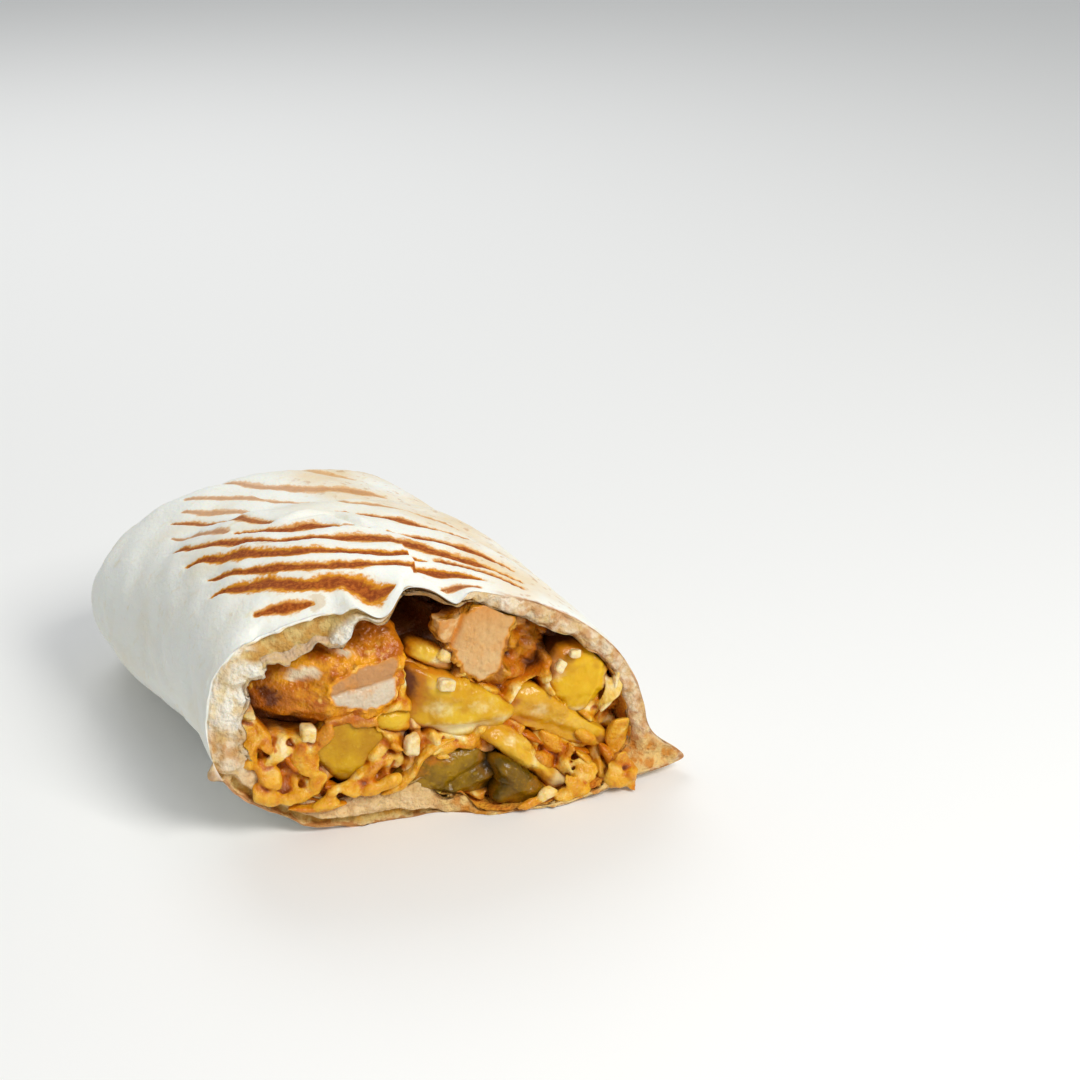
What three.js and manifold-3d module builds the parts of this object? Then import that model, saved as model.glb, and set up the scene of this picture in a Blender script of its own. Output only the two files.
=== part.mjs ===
// Half of a grilled chicken wrap, lying on its flat underside with its cut face to the front.
// Millimetres. +X is to the right of the cut face, +Y runs back to the folded end, +Z is up.
import * as THREE from 'three';
import { mergeVertices } from 'three/addons/utils/BufferGeometryUtils.js';
import Module from 'manifold-3d';

const wasm = await Module();
wasm.setup();

// Driving dimensions
const wrapLength = 100; // from the cut face to where the end is folded in
const endBulge = 4; // how far the folded end stands past that
const cutSkew = THREE.MathUtils.degToRad(-6); // the cut isn't quite square to the length
const flatDepth = 0.7; // what the weight of the wrap presses flat underneath
const sheetThickness = 2.3; // one layer of flatbread
const clearance = 0.35; // between pieces that touch
const oversize = 0.8; // what a piece is made too large by before it is trimmed to its place
const smallestStep = 0.08; // facets that stand out by less than this are joined to their neighbours
const fillingEnd = 0.94; // the filling stops at this share of the length
const lipReach = 5.5; // how far the bread stands forward under the right of the cut
const flapReach = 11; // loose corner of the bread at the lower right of the cut
const flapShare = 0.236; // its place on the way round from the middle of the underside
const flapFade = 0.16; // share of the length over which the corner dies out

// Outline of the wrap at seven places along its length. left and right are the half widths, crown is the
// height and crownAt its place, and leftWaist and rightWaist are the heights of the widest points.
// The four powers round the corners: 2 is an ellipse and more is squarer.
const stations = [
  { at: 0.0, left: 38, right: 45, leftWaist: 21, rightWaist: 13, crown: 46, crownAt: -8, topLeft: 2.4, topRight: 1.95, lowLeft: 1.9, lowRight: 3.6 },
  { at: 0.2, left: 36.5, right: 44, leftWaist: 22, rightWaist: 14, crown: 48, crownAt: -7, topLeft: 2.4, topRight: 2.0, lowLeft: 1.7, lowRight: 3.5 },
  { at: 0.46, left: 37.5, right: 41, leftWaist: 19, rightWaist: 16, crown: 46, crownAt: -5, topLeft: 2.3, topRight: 2.2, lowLeft: 1.8, lowRight: 3 },
  { at: 0.6, left: 38.5, right: 39, leftWaist: 18, rightWaist: 16, crown: 41, crownAt: -2, topLeft: 2.3, topRight: 2.4, lowLeft: 1.9, lowRight: 3 },
  { at: 0.78, left: 37.2, right: 36, leftWaist: 16.5, rightWaist: 15, crown: 40.5, crownAt: 2, topLeft: 2.3, topRight: 2.6, lowLeft: 2.0, lowRight: 3 },
  { at: 0.91, left: 33.5, right: 33, leftWaist: 15, rightWaist: 14, crown: 33.5, crownAt: 3, topLeft: 2.0, topRight: 2.6, lowLeft: 2.1, lowRight: 2.6 },
  { at: 1.0, left: 25.5, right: 25, leftWaist: 12, rightWaist: 12, crown: 18, crownAt: 3, topLeft: 2.0, topRight: 2.4, lowLeft: 2.1, lowRight: 2.4 },
];

// Chunks that show in the cut face: outline points are [x, z] in the plane of the cut, front is how far
// behind that plane the piece starts and depth is how far it reaches back into the filling.
const chunks = {
  chicken_left: {
    colour: 0xb9772f,
    rings: [
      { back: 0, points: [[-16, 28.5], [-10.5, 31.5], [-3, 33], [-2.6, 27.5], [-4, 23.5], [-9, 21.5], [-15, 24]] },
      { back: 8, points: [[-29.5, 25], [-27.5, 30], [-22, 35], [-14, 38.6], [-5, 39.4], [-0.8, 34], [-1.2, 26], [-6, 21.5], [-16, 20.8], [-25, 21.8]] },
      { back: 24, points: [[-27, 26], [-22, 33.5], [-13, 38], [-5, 38], [-2, 32], [-2, 26], [-8, 21.5], [-20, 21.5]] },
    ],
    frontDome: 0.8,
    relief: 0.35,
  },
  chicken_right: {
    colour: 0xc48a4e,
    rings: [
      { back: 0, points: [[5.7, 35.4], [8.2, 29.9], [12.2, 25], [14.7, 24.8], [18.2, 31.4], [20, 37.8], [17.7, 39.8], [12.2, 39.2]] },
      { back: 5, points: [[6.2, 37.9], [6.2, 32.9], [9.2, 27.4], [15.7, 22.4], [23.2, 22.4], [26.6, 26.9], [25.2, 31.9], [21.7, 37.9], [13.2, 40.2]] },
      { back: 20, points: [[13, 36.4], [13, 29.4], [17.2, 23.4], [24, 23.9], [27.5, 28.4], [25, 34.4], [18.2, 37.4]] },
    ],
    frontDome: 0.6,
    relief: 0.4,
  },
  potato_1: {
    colour: 0xe6b640,
    points: [[-0.4, 30.4], [5.5, 27.8], [10.6, 24.8], [15.5, 22], [20.4, 17.4], [18, 15.7], [11, 14], [3, 15], [0, 19.9]],
    front: 0.4,
    depth: 16,
  },
  potato_2: {
    colour: 0xe4b93c,
    points: [[27.4, 20.4], [27.1, 24], [29.2, 27.8], [32.8, 29.4], [36.8, 27.4], [38, 22.9], [37.6, 18.4], [34.3, 14.4], [30.4, 16.6]],
    front: 2,
    depth: 15,
  },
  potato_3: {
    colour: 0xdfa63a,
    points: [[18.6, 20.6], [23.1, 21.4], [27.6, 19.8], [31, 15.6], [36.2, 12.6], [40.2, 7.6], [37.2, 7], [30.6, 8.8], [24.1, 11.4], [20.2, 15.6]],
    front: 1,
    depth: 14,
  },
  potato_4: {
    colour: 0xdfb253,
    points: [[17.2, 11.8], [20.6, 12.6], [23.8, 10.6], [28, 7], [31.6, 2.6], [32.6, 0], [29.6, -0.4], [25.2, 2.6], [21.2, 6.4]],
    front: 0.2,
    depth: 11,
  },
  potato_5: {
    colour: 0xdba73f,
    points: [[-6.4, 19.2], [-4, 20], [-0.4, 19.8], [0.4, 17], [-1, 15.8], [-4.6, 16.6]],
    front: 1.5,
    depth: 9,
  },
  potato_6: {
    colour: 0xe3c069,
    points: [[1, 31.6], [3.4, 33.2], [6.6, 31.8], [9, 28.6], [8.6, 26.4], [5, 28.2], [2, 29.8]],
    front: 4,
    depth: 9,
  },
  pickle_1: {
    colour: 0xa89a2c,
    points: [[-16.2, 19.6], [-11.7, 19.6], [-8.5, 18.4], [-6.5, 15.8], [-7.7, 12.6], [-10.1, 9.8], [-13.1, 8.8], [-16.1, 10.6], [-18.1, 14]],
    front: 1.2,
    depth: 8,
  },
  pickle_2: {
    colour: 0x7d7d22,
    points: [[-1.6, 4.2], [2.8, 5.6], [7, 7.2], [10.8, 9.4], [14.4, 10.4], [17.2, 7.4], [17, 3.4], [12.8, 1.4], [6.4, 2]],
    front: 0.4,
    depth: 10,
  },
  pickle_3: {
    colour: 0x7a7a24,
    points: [[14.2, 9], [17.6, 9.2], [21, 6], [23.4, 3.4], [20.4, 2.8], [16, 3], [14, 5.4]],
    front: -2,
    depth: 11,
  },
};

// Shreds and diced bits in the sauce: where they crowd, how many there are, and how long they run
const scatter = [
  { kind: 'bit', count: 13, centre: [-21, 13], spread: [8, 6], size: 4.4 },
  { kind: 'bit', count: 6, centre: [-3, 12.5], spread: [5, 4], size: 4.2 },
  { kind: 'shred', count: 7, centre: [-20, 9.5], spread: [7, 3.5], size: 8 },
  { kind: 'shred', count: 9, centre: [31, 7.5], spread: [6, 3], size: 9 },
  { kind: 'bit', count: 4, centre: [23, 27], spread: [3, 4], size: 3.6 },
];

const around = 44; // points round the bread
const aroundSpace = 22; // points round the space inside it
const aroundCore = 30;
const aroundChunk = 14;
const aroundChicken = 22;
const lengthSteps = [0, 0.04, 0.09, 0.15, 0.22, 0.3, 0.38, 0.46, 0.53, 0.6, 0.68, 0.76, 0.84, 0.91, 0.95, 1];

// A repeatable random number from 0 to 1
let seed = 41;
function random() {
  seed = (seed * 16807) % 2147483647;
  return seed / 2147483647;
}

// Smooth unevenness of about plus or minus 1
function unevenness(x, y, z) {
  return 0.5 * Math.sin(0.31 * x + 0.23 * y + 1.3) + 0.3 * Math.sin(0.53 * z - 0.37 * y + 0.29 * x)
    + 0.2 * Math.sin(0.83 * x - 0.71 * z + 0.61 * y + 2.1);
}

function fade(from, to, value) {
  return THREE.MathUtils.smoothstep(value, from, to);
}

// One dimension of the stations at any place along the length, by a curve that never overshoots
function along(name, place) {
  const t = THREE.MathUtils.clamp(place, 0, 1);
  let i = 0;
  while (i < stations.length - 2 && t > stations[i + 1].at) i += 1;
  const slope = (k) => (stations[k + 1][name] - stations[k][name]) / (stations[k + 1].at - stations[k].at);
  const tangent = (k) => {
    if (k === 0 || k === stations.length - 1) return slope(Math.min(k, stations.length - 2));
    const before = slope(k - 1);
    const after = slope(k);
    return before * after <= 0 ? 0 : (2 * before * after) / (before + after);
  };
  const span = stations[i + 1].at - stations[i].at;
  const s = (t - stations[i].at) / span;
  const rise = stations[i][name] * (1 - 3 * s ** 2 + 2 * s ** 3) + stations[i + 1][name] * (3 * s ** 2 - 2 * s ** 3);
  return rise + span * (tangent(i) * (s - 2 * s ** 2 + s ** 3) + tangent(i + 1) * (s ** 3 - s ** 2));
}

// The outline at one place, as evenly spaced points with outward normals. It starts under the middle and
// goes round by the right side, over the top and down the left side. share is how far round a point is.
const outlineCache = new Map();
function outline(t, count) {
  const key = `${t} ${count}`;
  if (outlineCache.has(key)) return outlineCache.get(key);
  const dense = 720;
  const crown = along('crown', t);
  const crownAt = along('crownAt', t);
  const points = [];
  for (let i = 0; i < dense; i += 1) {
    const angle = -Math.PI / 2 + (i / dense) * 2 * Math.PI;
    const c = Math.cos(angle);
    const s = Math.sin(angle);
    const side = c >= 0 ? 'right' : 'left';
    const reach = c >= 0 ? along('right', t) - crownAt : along('left', t) + crownAt;
    const waist = along(`${side}Waist`, t);
    const corner = along((s >= 0 ? 'top' : 'low') + (c >= 0 ? 'Right' : 'Left'), t);
    const x = crownAt + Math.sign(c) * reach * Math.abs(c) ** (2 / corner);
    const lift = s >= 0 ? crown - waist : -(waist + flatDepth);
    const z = waist + lift * Math.abs(s) ** (2 / corner);
    points.push(new THREE.Vector2(x, z));
  }
  const lengths = [0];
  for (let i = 0; i < dense; i += 1) lengths.push(lengths[i] + points[i].distanceTo(points[(i + 1) % dense]));
  const result = [];
  let j = 0;
  for (let i = 0; i < count; i += 1) {
    const target = (i / count) * lengths[dense];
    while (lengths[j + 1] < target) j += 1;
    const s = (target - lengths[j]) / (lengths[j + 1] - lengths[j]);
    const a = points[j];
    const b = points[(j + 1) % dense];
    const p = a.clone().lerp(b, s);
    const ahead = points[(j + 6) % dense];
    const behind = points[(j + dense - 5) % dense];
    const normal = new THREE.Vector2(ahead.y - behind.y, behind.x - ahead.x).normalize();
    result.push({ x: p.x, z: p.y, normal, share: i / count });
  }
  outlineCache.set(key, result);
  return result;
}

// Where a point at x on the outline stands along the length
function standAt(x, t) {
  return x * Math.tan(cutSkew) * (1 - Math.min(Math.max(t, 0), 1)) + t * wrapLength;
}

// The bread lies doubled on the left and underneath, and single over the top and down the right
function breadThickness(share, t) {
  const doubled = fade(0.55, 0.63, share) + (1 - fade(0.02, 0.11, share));
  return sheetThickness * (1 + 0.85 * Math.min(doubled, 1) * (1 - 0.3 * fade(0.7, 1, t)));
}

// The torn front edge of the bread: behind the plane of the cut where positive. Over the top it has two
// tongues with a notch between them, and underneath it stands forward as a lip on the right.
function rimSetback(x, z, share) {
  const tongues = 3.4 * Math.exp(-(((x + 7) / 4) ** 2)) + 2.4 * Math.exp(-(((x - 7) / 2.6) ** 2));
  const notch = 1.6 * Math.exp(-((x / 3) ** 2));
  const overTop = fade(0.36, 0.42, share) * (1 - fade(0.62, 0.68, share));
  const lip = lipReach * fade(0.05, 0.12, share) * (1 - fade(0.19, 0.235, share));
  const ragged = 0.4 * Math.sin(0.9 * x + 0.7 * z) + 0.3 * Math.sin(1.7 * x - 1.1 * z + 1);
  return overTop * (notch - tongues) - lip + ragged;
}

// Surface of the bread, inset from its outside
function breadRing(t, inset, setback = 0) {
  return outline(t, around).map(({ x, z, normal, share }) => {
    const flap = inset > 0 ? 0 : flapReach * Math.exp(-(((share - flapShare) / 0.022) ** 2)) * (1 - fade(0, flapFade, t));
    const buckle = inset > 0 ? 0 : 0.45 * unevenness(x, t * wrapLength, z) * fade(0.02, 0.2, t);
    const px = x - normal.x * (inset - buckle) + flap;
    const pz = z - normal.y * (inset - buckle) - flap * 0.16;
    return new THREE.Vector3(px, standAt(px, t) + setback * rimSetback(x, z, share), Math.max(pz, 0));
  });
}

// The folded end: the outline shrinks to a point, over an upper and a lower fold with a crease between
function endFolds(x, z) {
  const height = z - 9 - 0.15 * x;
  const crease = -3 * Math.exp(-((height / 2.2) ** 2)) * (1 - fade(15, 23, Math.abs(x)));
  const ear = 3.6 * Math.exp(-(((x - 9) / 9) ** 2) - (((height - 4.5) / 4.2) ** 2));
  return crease + ear;
}

function endRing(shrink) {
  return outline(1, around).map(({ x, z }) => {
    const px = 2 + (x - 2) * shrink;
    const pz = 9 + (z - 9) * shrink;
    const bulge = endBulge * Math.sqrt(1 - shrink ** 2.6);
    return new THREE.Vector3(px, wrapLength + bulge + endFolds(px, pz) * (1 - fade(0.7, 1, shrink)), Math.max(pz, 0));
  });
}

// A closed skin over rings of equal count; a single point closes each end
function skinOver(rings) {
  const positions = [];
  const starts = rings.map((ring) => {
    const start = positions.length / 3;
    ring.forEach((p) => positions.push(p.x, p.y, p.z));
    return start;
  });
  const faces = [];
  for (let r = 0; r < rings.length - 1; r += 1) {
    const a = rings[r];
    const b = rings[r + 1];
    const count = Math.max(a.length, b.length);
    for (let i = 0; i < count; i += 1) {
      const next = (i + 1) % count;
      if (a.length === 1) faces.push([starts[r], starts[r + 1] + next, starts[r + 1] + i]);
      else if (b.length === 1) faces.push([starts[r] + i, starts[r] + next, starts[r + 1]]);
      else {
        faces.push([starts[r] + i, starts[r] + next, starts[r + 1] + next]);
        faces.push([starts[r] + i, starts[r + 1] + next, starts[r + 1] + i]);
      }
    }
  }
  let volume = 0;
  const corner = (i) => new THREE.Vector3().fromArray(positions, i * 3);
  faces.forEach(([a, b, c]) => { volume += corner(a).dot(corner(b).cross(corner(c))); });
  const geometry = new THREE.BufferGeometry();
  geometry.setAttribute('position', new THREE.Float32BufferAttribute(positions, 3));
  geometry.setIndex(faces.flatMap(([a, b, c]) => (volume > 0 ? [a, b, c] : [a, c, b])));
  return geometry;
}

function centreOf(ring) {
  const sum = ring.reduce((total, p) => total.add(p), new THREE.Vector3());
  return sum.divideScalar(ring.length);
}

function toSolid(geometry) {
  const bare = geometry.clone();
  bare.deleteAttribute('normal');
  bare.deleteAttribute('uv');
  const merged = mergeVertices(bare, 1e-4);
  return new wasm.Manifold(new wasm.Mesh({
    numProp: 3,
    vertProperties: new Float32Array(merged.attributes.position.array),
    triVerts: new Uint32Array(merged.index.array),
  }));
}

function toGeometry(solid) {
  const mesh = solid.getMesh();
  const geometry = new THREE.BufferGeometry();
  geometry.setAttribute('position', new THREE.BufferAttribute(mesh.vertProperties, 3));
  geometry.setIndex(new THREE.BufferAttribute(mesh.triVerts, 1));
  geometry.computeVertexNormals();
  return geometry;
}

// The largest body of a solid, without the scraps and slivers that a cut leaves
function largestBody(solid) {
  const bodies = solid.simplify(smallestStep).decompose();
  return bodies.reduce((best, body) => (body.volume() > best.volume() ? body : best));
}

// The same shape a little larger all over, to cut room for it
function swollen(geometry, amount) {
  const grown = geometry.clone();
  grown.computeVertexNormals();
  const { position, normal } = grown.attributes;
  for (let i = 0; i < position.count; i += 1) {
    position.setXYZ(
      i,
      position.getX(i) + normal.getX(i) * amount,
      position.getY(i) + normal.getY(i) * amount,
      position.getZ(i) + normal.getZ(i) * amount,
    );
  }
  return grown;
}

// Bread: outside, folded end, torn rim with a groove between its two layers, and the inside
function flatbread() {
  const outside = [...lengthSteps].reverse().map((t) => breadRing(t, 0, t === 0 ? 1 : 0));
  const thickness = (t) => outline(t, around).map(({ share }) => breadThickness(share, t));
  const inner = (t, part, setback) => {
    const depths = thickness(t);
    const bare = outline(t, around);
    return bare.map(({ x, z, normal, share }, i) => {
      const px = x - normal.x * depths[i] * part;
      const pz = Math.max(z - normal.y * depths[i] * part, 0.6);
      return new THREE.Vector3(px, standAt(px, t) + setback(x, z, share), pz);
    });
  };
  const doubled = (share) => Math.max(fade(0.57, 0.62, share), 1 - fade(0.03, 0.1, share));
  const rim = [
    inner(0, 0.42, (x, z, share) => rimSetback(x, z, share) + 0.2),
    inner(0, 0.56, (x, z, share) => rimSetback(x, z, share) + 0.3 + 1.5 * doubled(share)),
    inner(0, 0.72, (x, z, share) => rimSetback(x + 3, z, share) + 0.4 - 0.2 * doubled(share)),
    inner(0, 1, (x, z, share) => rimSetback(x + 3, z, share) + 0.9),
  ];
  const inside = lengthSteps.slice(1).filter((t) => t < 1).map((t) => inner(t, 1, () => 0));
  const middle = centreOf(inside[inside.length - 1]);
  return skinOver([
    [new THREE.Vector3(2, wrapLength + endBulge + endFolds(2, 9), 9)],
    ...[0.2, 0.4, 0.58, 0.73, 0.86, 0.95].map((shrink) => endRing(shrink)),
    ...outside,
    ...rim,
    ...inside,
    [middle],
  ]);
}

// The space inside the bread, running on in front of the cut
function innerSpace(gap, front, count) {
  const steps = lengthSteps.filter((t) => t < fillingEnd);
  const rings = [front, ...steps.slice(front < 0 ? 0 : 1)].map((t) => (
    outline(Math.max(t, 0), count).map(({ x, z, normal, share }) => {
      const inset = breadThickness(share, Math.max(t, 0)) + gap;
      const px = x - normal.x * inset;
      const pz = Math.max(z - normal.y * inset, 0.6 + gap);
      return new THREE.Vector3(px, standAt(px, t), pz);
    })));
  return rings;
}

// How far the sauced filling stands back from the cut, chunks apart
function fillingSetback(x, z) {
  const hollow = 12 * Math.exp(-(((x - 1.5) / 4.6) ** 2) - (((z - 39) / 6) ** 2));
  const aboveCrust = 9 * Math.exp(-(((x + 20) / 11) ** 4) - (((z - 35) / 8) ** 4));
  const lowFront = 2.6 * (1 - fade(4, 13, z));
  const edge = 2 * fade(24, 40, Math.abs(x - 2));
  return 2.4 + Math.max(hollow, aboveCrust) + lowFront + edge + 0.8 * unevenness(2.6 * x, 4, 2.6 * z);
}

// The core is made a little too large and then trimmed to the inside of the bread
function fillingCore() {
  const [mouth, ...sides] = innerSpace(-oversize, 0, aroundCore);
  const middle = centreOf(mouth);
  const frontRing = (shrink) => mouth.map((p) => {
    const x = middle.x + (p.x - middle.x) * shrink;
    const z = middle.z + (p.z - middle.z) * shrink;
    return new THREE.Vector3(x, x * Math.tan(cutSkew) + fillingSetback(x, z), z);
  });
  const last = sides[sides.length - 1];
  const back = centreOf(last);
  const hidden = sides.filter((ring) => Math.min(...ring.map((p) => p.y)) > 12);
  return skinOver([
    [new THREE.Vector3(middle.x, middle.x * Math.tan(cutSkew) + fillingSetback(middle.x, middle.z), middle.z)],
    ...[0.2, 0.4, 0.58, 0.74, 0.88, 0.97, 1].map(frontRing),
    ...hidden,
    [back],
  ]);
}

// A closed smooth outline through a few points, as distances from its middle at even angles
function polar(points, count, middle) {
  const curve = new THREE.CatmullRomCurve3(
    points.map(([x, z]) => new THREE.Vector3(x, z, 0)), true, 'catmullrom', 0.6);
  const dense = curve.getPoints(points.length * 24);
  return Array.from({ length: count }, (_, i) => {
    const angle = (i / count) * 2 * Math.PI;
    const along2 = new THREE.Vector2(Math.cos(angle), Math.sin(angle));
    let best = 0;
    dense.forEach((p) => {
      const dx = p.x - middle[0];
      const dz = p.y - middle[1];
      const forward = dx * along2.x + dz * along2.y;
      const sideways = Math.abs(dx * along2.y - dz * along2.x);
      if (forward > 0 && sideways < 0.12 * forward + 0.05) best = Math.max(best, forward);
    });
    return best;
  });
}

function middleOf(points) {
  const xs = points.map(([x]) => x);
  const zs = points.map(([, z]) => z);
  return [(Math.min(...xs) + Math.max(...xs)) / 2, (Math.min(...zs) + Math.max(...zs)) / 2];
}

// A chunk: a domed front, full outlines further back, and a rounded hidden end
function chunkShape({ points, front = 0, depth = 12, rings, frontDome = 0.5, relief = 0.22 }) {
  const keys = rings ?? [{ back: 0, points }, { back: depth * 0.75, points }];
  const count = rings ? aroundChicken : aroundChunk;
  const last = keys[keys.length - 1];
  const layers = keys.map((key) => {
    const middle = middleOf(key.points);
    return { middle, reach: polar(key.points, count, middle), back: key.back };
  });
  const ring = (layer, shrink, back) => layer.reach.map((r, i) => {
    const angle = (i / count) * 2 * Math.PI;
    const rough = relief * unevenness(5 * Math.cos(angle) * r, 3 * back, 5 * Math.sin(angle) * r);
    const x = layer.middle[0] + Math.cos(angle) * (r + rough) * shrink;
    const z = layer.middle[1] + Math.sin(angle) * (r + rough) * shrink;
    return new THREE.Vector3(x, x * Math.tan(cutSkew) + front + back, z);
  });
  const mixed = (a, b, s) => ({
    middle: [0, 1].map((k) => a.middle[k] * (1 - s) + b.middle[k] * s),
    reach: a.reach.map((r, i) => r * (1 - s) + b.reach[i] * s),
  });
  const point = (layer, back) => {
    const [x, z] = layer.middle;
    return [new THREE.Vector3(x, x * Math.tan(cutSkew) + front + back, z)];
  };
  const body = [];
  for (let k = 0; k < layers.length - 1; k += 1) {
    const span = layers[k + 1].back - layers[k].back;
    const a = layers[k];
    const b = layers[k + 1];
    body.push(ring(mixed(a, b, 0.5), 1.02, a.back + span * 0.42));
    body.push(ring(b, 1, b.back));
  }
  const first = layers[0];
  const end = layers[layers.length - 1];
  return skinOver([
    point(first, -frontDome),
    ring(first, 0.5, -frontDome * 0.8),
    ring(first, 0.86, -frontDome * 0.2),
    ring(first, 1, 0.7),
    ...body,
    ring(end, 0.72, last.back + depth * 0.2),
    point(end, last.back + depth * 0.26),
  ]);
}

// One diced bit or shred, lying in the face of the filling
function scrap({ kind, size }, x, z, lean) {
  const geometry = kind === 'bit'
    ? new THREE.IcosahedronGeometry(1, 0).scale(size * 0.5, size * 0.32, size * 0.34)
    : new THREE.CylinderGeometry(1, 0.7, size, 6, 3).scale(1.3, 1, 0.75);
  if (kind === 'shred') {
    const { position } = geometry.attributes;
    for (let i = 0; i < position.count; i += 1) {
      position.setX(i, position.getX(i) + 0.12 * position.getY(i) ** 2 * Math.sign(lean));
    }
    geometry.rotateZ(Math.PI / 2);
  }
  geometry.rotateY(-lean * 0.8);
  geometry.rotateZ(lean * 0.35);
  geometry.translate(x, x * Math.tan(cutSkew) + fillingSetback(x, z) - 0.2, z);
  return geometry;
}

function scrapsOf(group) {
  return Array.from({ length: group.count }, (_, i) => {
    const angle = i * 2.4 + random();
    const out = Math.sqrt((i + 0.5) / group.count);
    const x = group.centre[0] + Math.cos(angle) * out * group.spread[0];
    const z = group.centre[1] + Math.sin(angle) * out * group.spread[1];
    const made = { ...group, size: group.size * (0.8 + 0.4 * random()) };
    return scrap(made, x, z, (random() - 0.5) * 2.6);
  });
}

function named(name, geometry, colour, roughness) {
  const material = new THREE.MeshStandardMaterial({ color: colour, roughness, metalness: 0 });
  const mesh = new THREE.Mesh(geometry, material);
  mesh.name = name;
  return mesh;
}

const wrap = new THREE.Group();
wrap.name = 'wrap_half';
wrap.add(named('flatbread', flatbread(), 0xe9e2cc, 0.8));

// Chunks are trimmed to the inside of the bread and to the chunks placed before them
const spaceRings = innerSpace(clearance, -0.12, aroundSpace);
const space = toSolid(skinOver([
  [centreOf(spaceRings[0])],
  ...spaceRings,
  [centreOf(spaceRings[spaceRings.length - 1])],
]));
let room = null;
Object.entries(chunks).forEach(([name, chunk]) => {
  const shape = chunkShape(chunk);
  const inside = toSolid(shape).intersect(space);
  const solid = largestBody(room ? inside.subtract(room) : inside);
  const cut = toSolid(swollen(shape, clearance));
  room = room ? room.add(cut) : cut;
  wrap.add(named(name, toGeometry(solid), chunk.colour, 0.5));
});

const heap = scatter.flatMap(scrapsOf).reduce((whole, piece) => whole.add(toSolid(piece)), toSolid(fillingCore()));
wrap.add(named('filling_heap', toGeometry(largestBody(heap.intersect(space).subtract(room))), 0xc9802f, 0.45));

// The origin is at the middle of the underside
const box = new THREE.Box3().setFromObject(wrap);
const middle = box.getCenter(new THREE.Vector3());
wrap.position.set(-middle.x, -middle.y, -box.min.z);

export default wrap;
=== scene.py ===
import math
import bpy
import numpy as np
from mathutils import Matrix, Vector
from mathutils.kdtree import KDTree


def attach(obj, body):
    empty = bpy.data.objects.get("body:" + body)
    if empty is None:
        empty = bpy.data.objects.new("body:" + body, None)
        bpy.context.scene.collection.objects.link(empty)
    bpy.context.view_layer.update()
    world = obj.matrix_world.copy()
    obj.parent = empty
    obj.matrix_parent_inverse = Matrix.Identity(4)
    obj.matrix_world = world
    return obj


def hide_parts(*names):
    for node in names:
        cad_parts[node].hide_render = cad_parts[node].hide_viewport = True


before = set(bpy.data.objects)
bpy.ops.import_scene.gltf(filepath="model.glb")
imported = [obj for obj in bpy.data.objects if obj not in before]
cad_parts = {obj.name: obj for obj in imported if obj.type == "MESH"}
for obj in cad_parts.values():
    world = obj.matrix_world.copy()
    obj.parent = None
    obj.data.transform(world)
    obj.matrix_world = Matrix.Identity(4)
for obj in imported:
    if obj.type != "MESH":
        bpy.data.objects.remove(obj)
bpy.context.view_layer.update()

mm = 0.001
cutMiddle = (-6.29, -49.14)  # mm, where the middle of the cut stands in the frame
print("frame loaded:", len(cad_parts), "nodes")

# the camera, lights and floor

camera = {
    "azimuth": -26,  # degrees, the cut face is seen from its left
    "elevation": 22,
    "distance": 430,  # mm
    "lens": 78.83,
    "target": (25.7, 1.0, 50.0),  # mm, from the middle of the cut
}

lights = {
    # place in mm from the middle of the wrap, size in mm, watts, warmth
    "keyLight": {"place": (170, -560, 520), "size": 300, "power": 4.0, "colour": "#fffdf8"},
    "backLight": {"place": (60, 560, 560), "size": 420, "power": 1.6, "colour": "#ffffff"},
}
skyStrength = 0.44


def toLinear(colour):
    channels = [int(colour[i:i + 2], 16) / 255 for i in (1, 3, 5)]
    return tuple(c / 12.92 if c <= 0.04045 else ((c + 0.055) / 1.055) ** 2.4 for c in channels) + (1.0,)


def place(x, y, z):
    return Vector(((x + cutMiddle[0]) * mm, (y + cutMiddle[1]) * mm, z * mm))


def aim(thing, target):
    thing.rotation_mode = "QUATERNION"
    thing.rotation_quaternion = (target - thing.location).to_track_quat("-Z", "Y")


def makeCamera():
    a, e = math.radians(camera["azimuth"]), math.radians(camera["elevation"])
    back = Vector((math.sin(a) * math.cos(e), -math.cos(a) * math.cos(e), math.sin(e)))
    data = bpy.data.cameras.new("camera")
    thing = bpy.data.objects.new("camera", data)
    bpy.context.scene.collection.objects.link(thing)
    data.lens, data.sensor_width = camera["lens"], 36
    data.clip_start, data.clip_end = 0.01, 20
    target = place(*camera["target"])
    thing.location = target + back * camera["distance"] * mm
    aim(thing, target)
    bpy.context.scene.camera = thing


def makeLights():
    for name, light in lights.items():
        data = bpy.data.lights.new(name, "AREA")
        data.shape, data.size = "SQUARE", light["size"] * mm
        data.energy, data.color = light["power"], toLinear(light["colour"])[:3]
        thing = bpy.data.objects.new(name, data)
        bpy.context.scene.collection.objects.link(thing)
        thing.location = Vector(light["place"]) * mm
        aim(thing, Vector((0, 0, 0.02)))
    world = bpy.data.worlds.new("studio")
    bpy.context.scene.world = world
    world.use_nodes = True
    world.node_tree.nodes["Background"].inputs["Color"].default_value = toLinear("#f8fbfd")
    world.node_tree.nodes["Background"].inputs["Strength"].default_value = skyStrength


# nodes, meshes and unevenness

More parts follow.
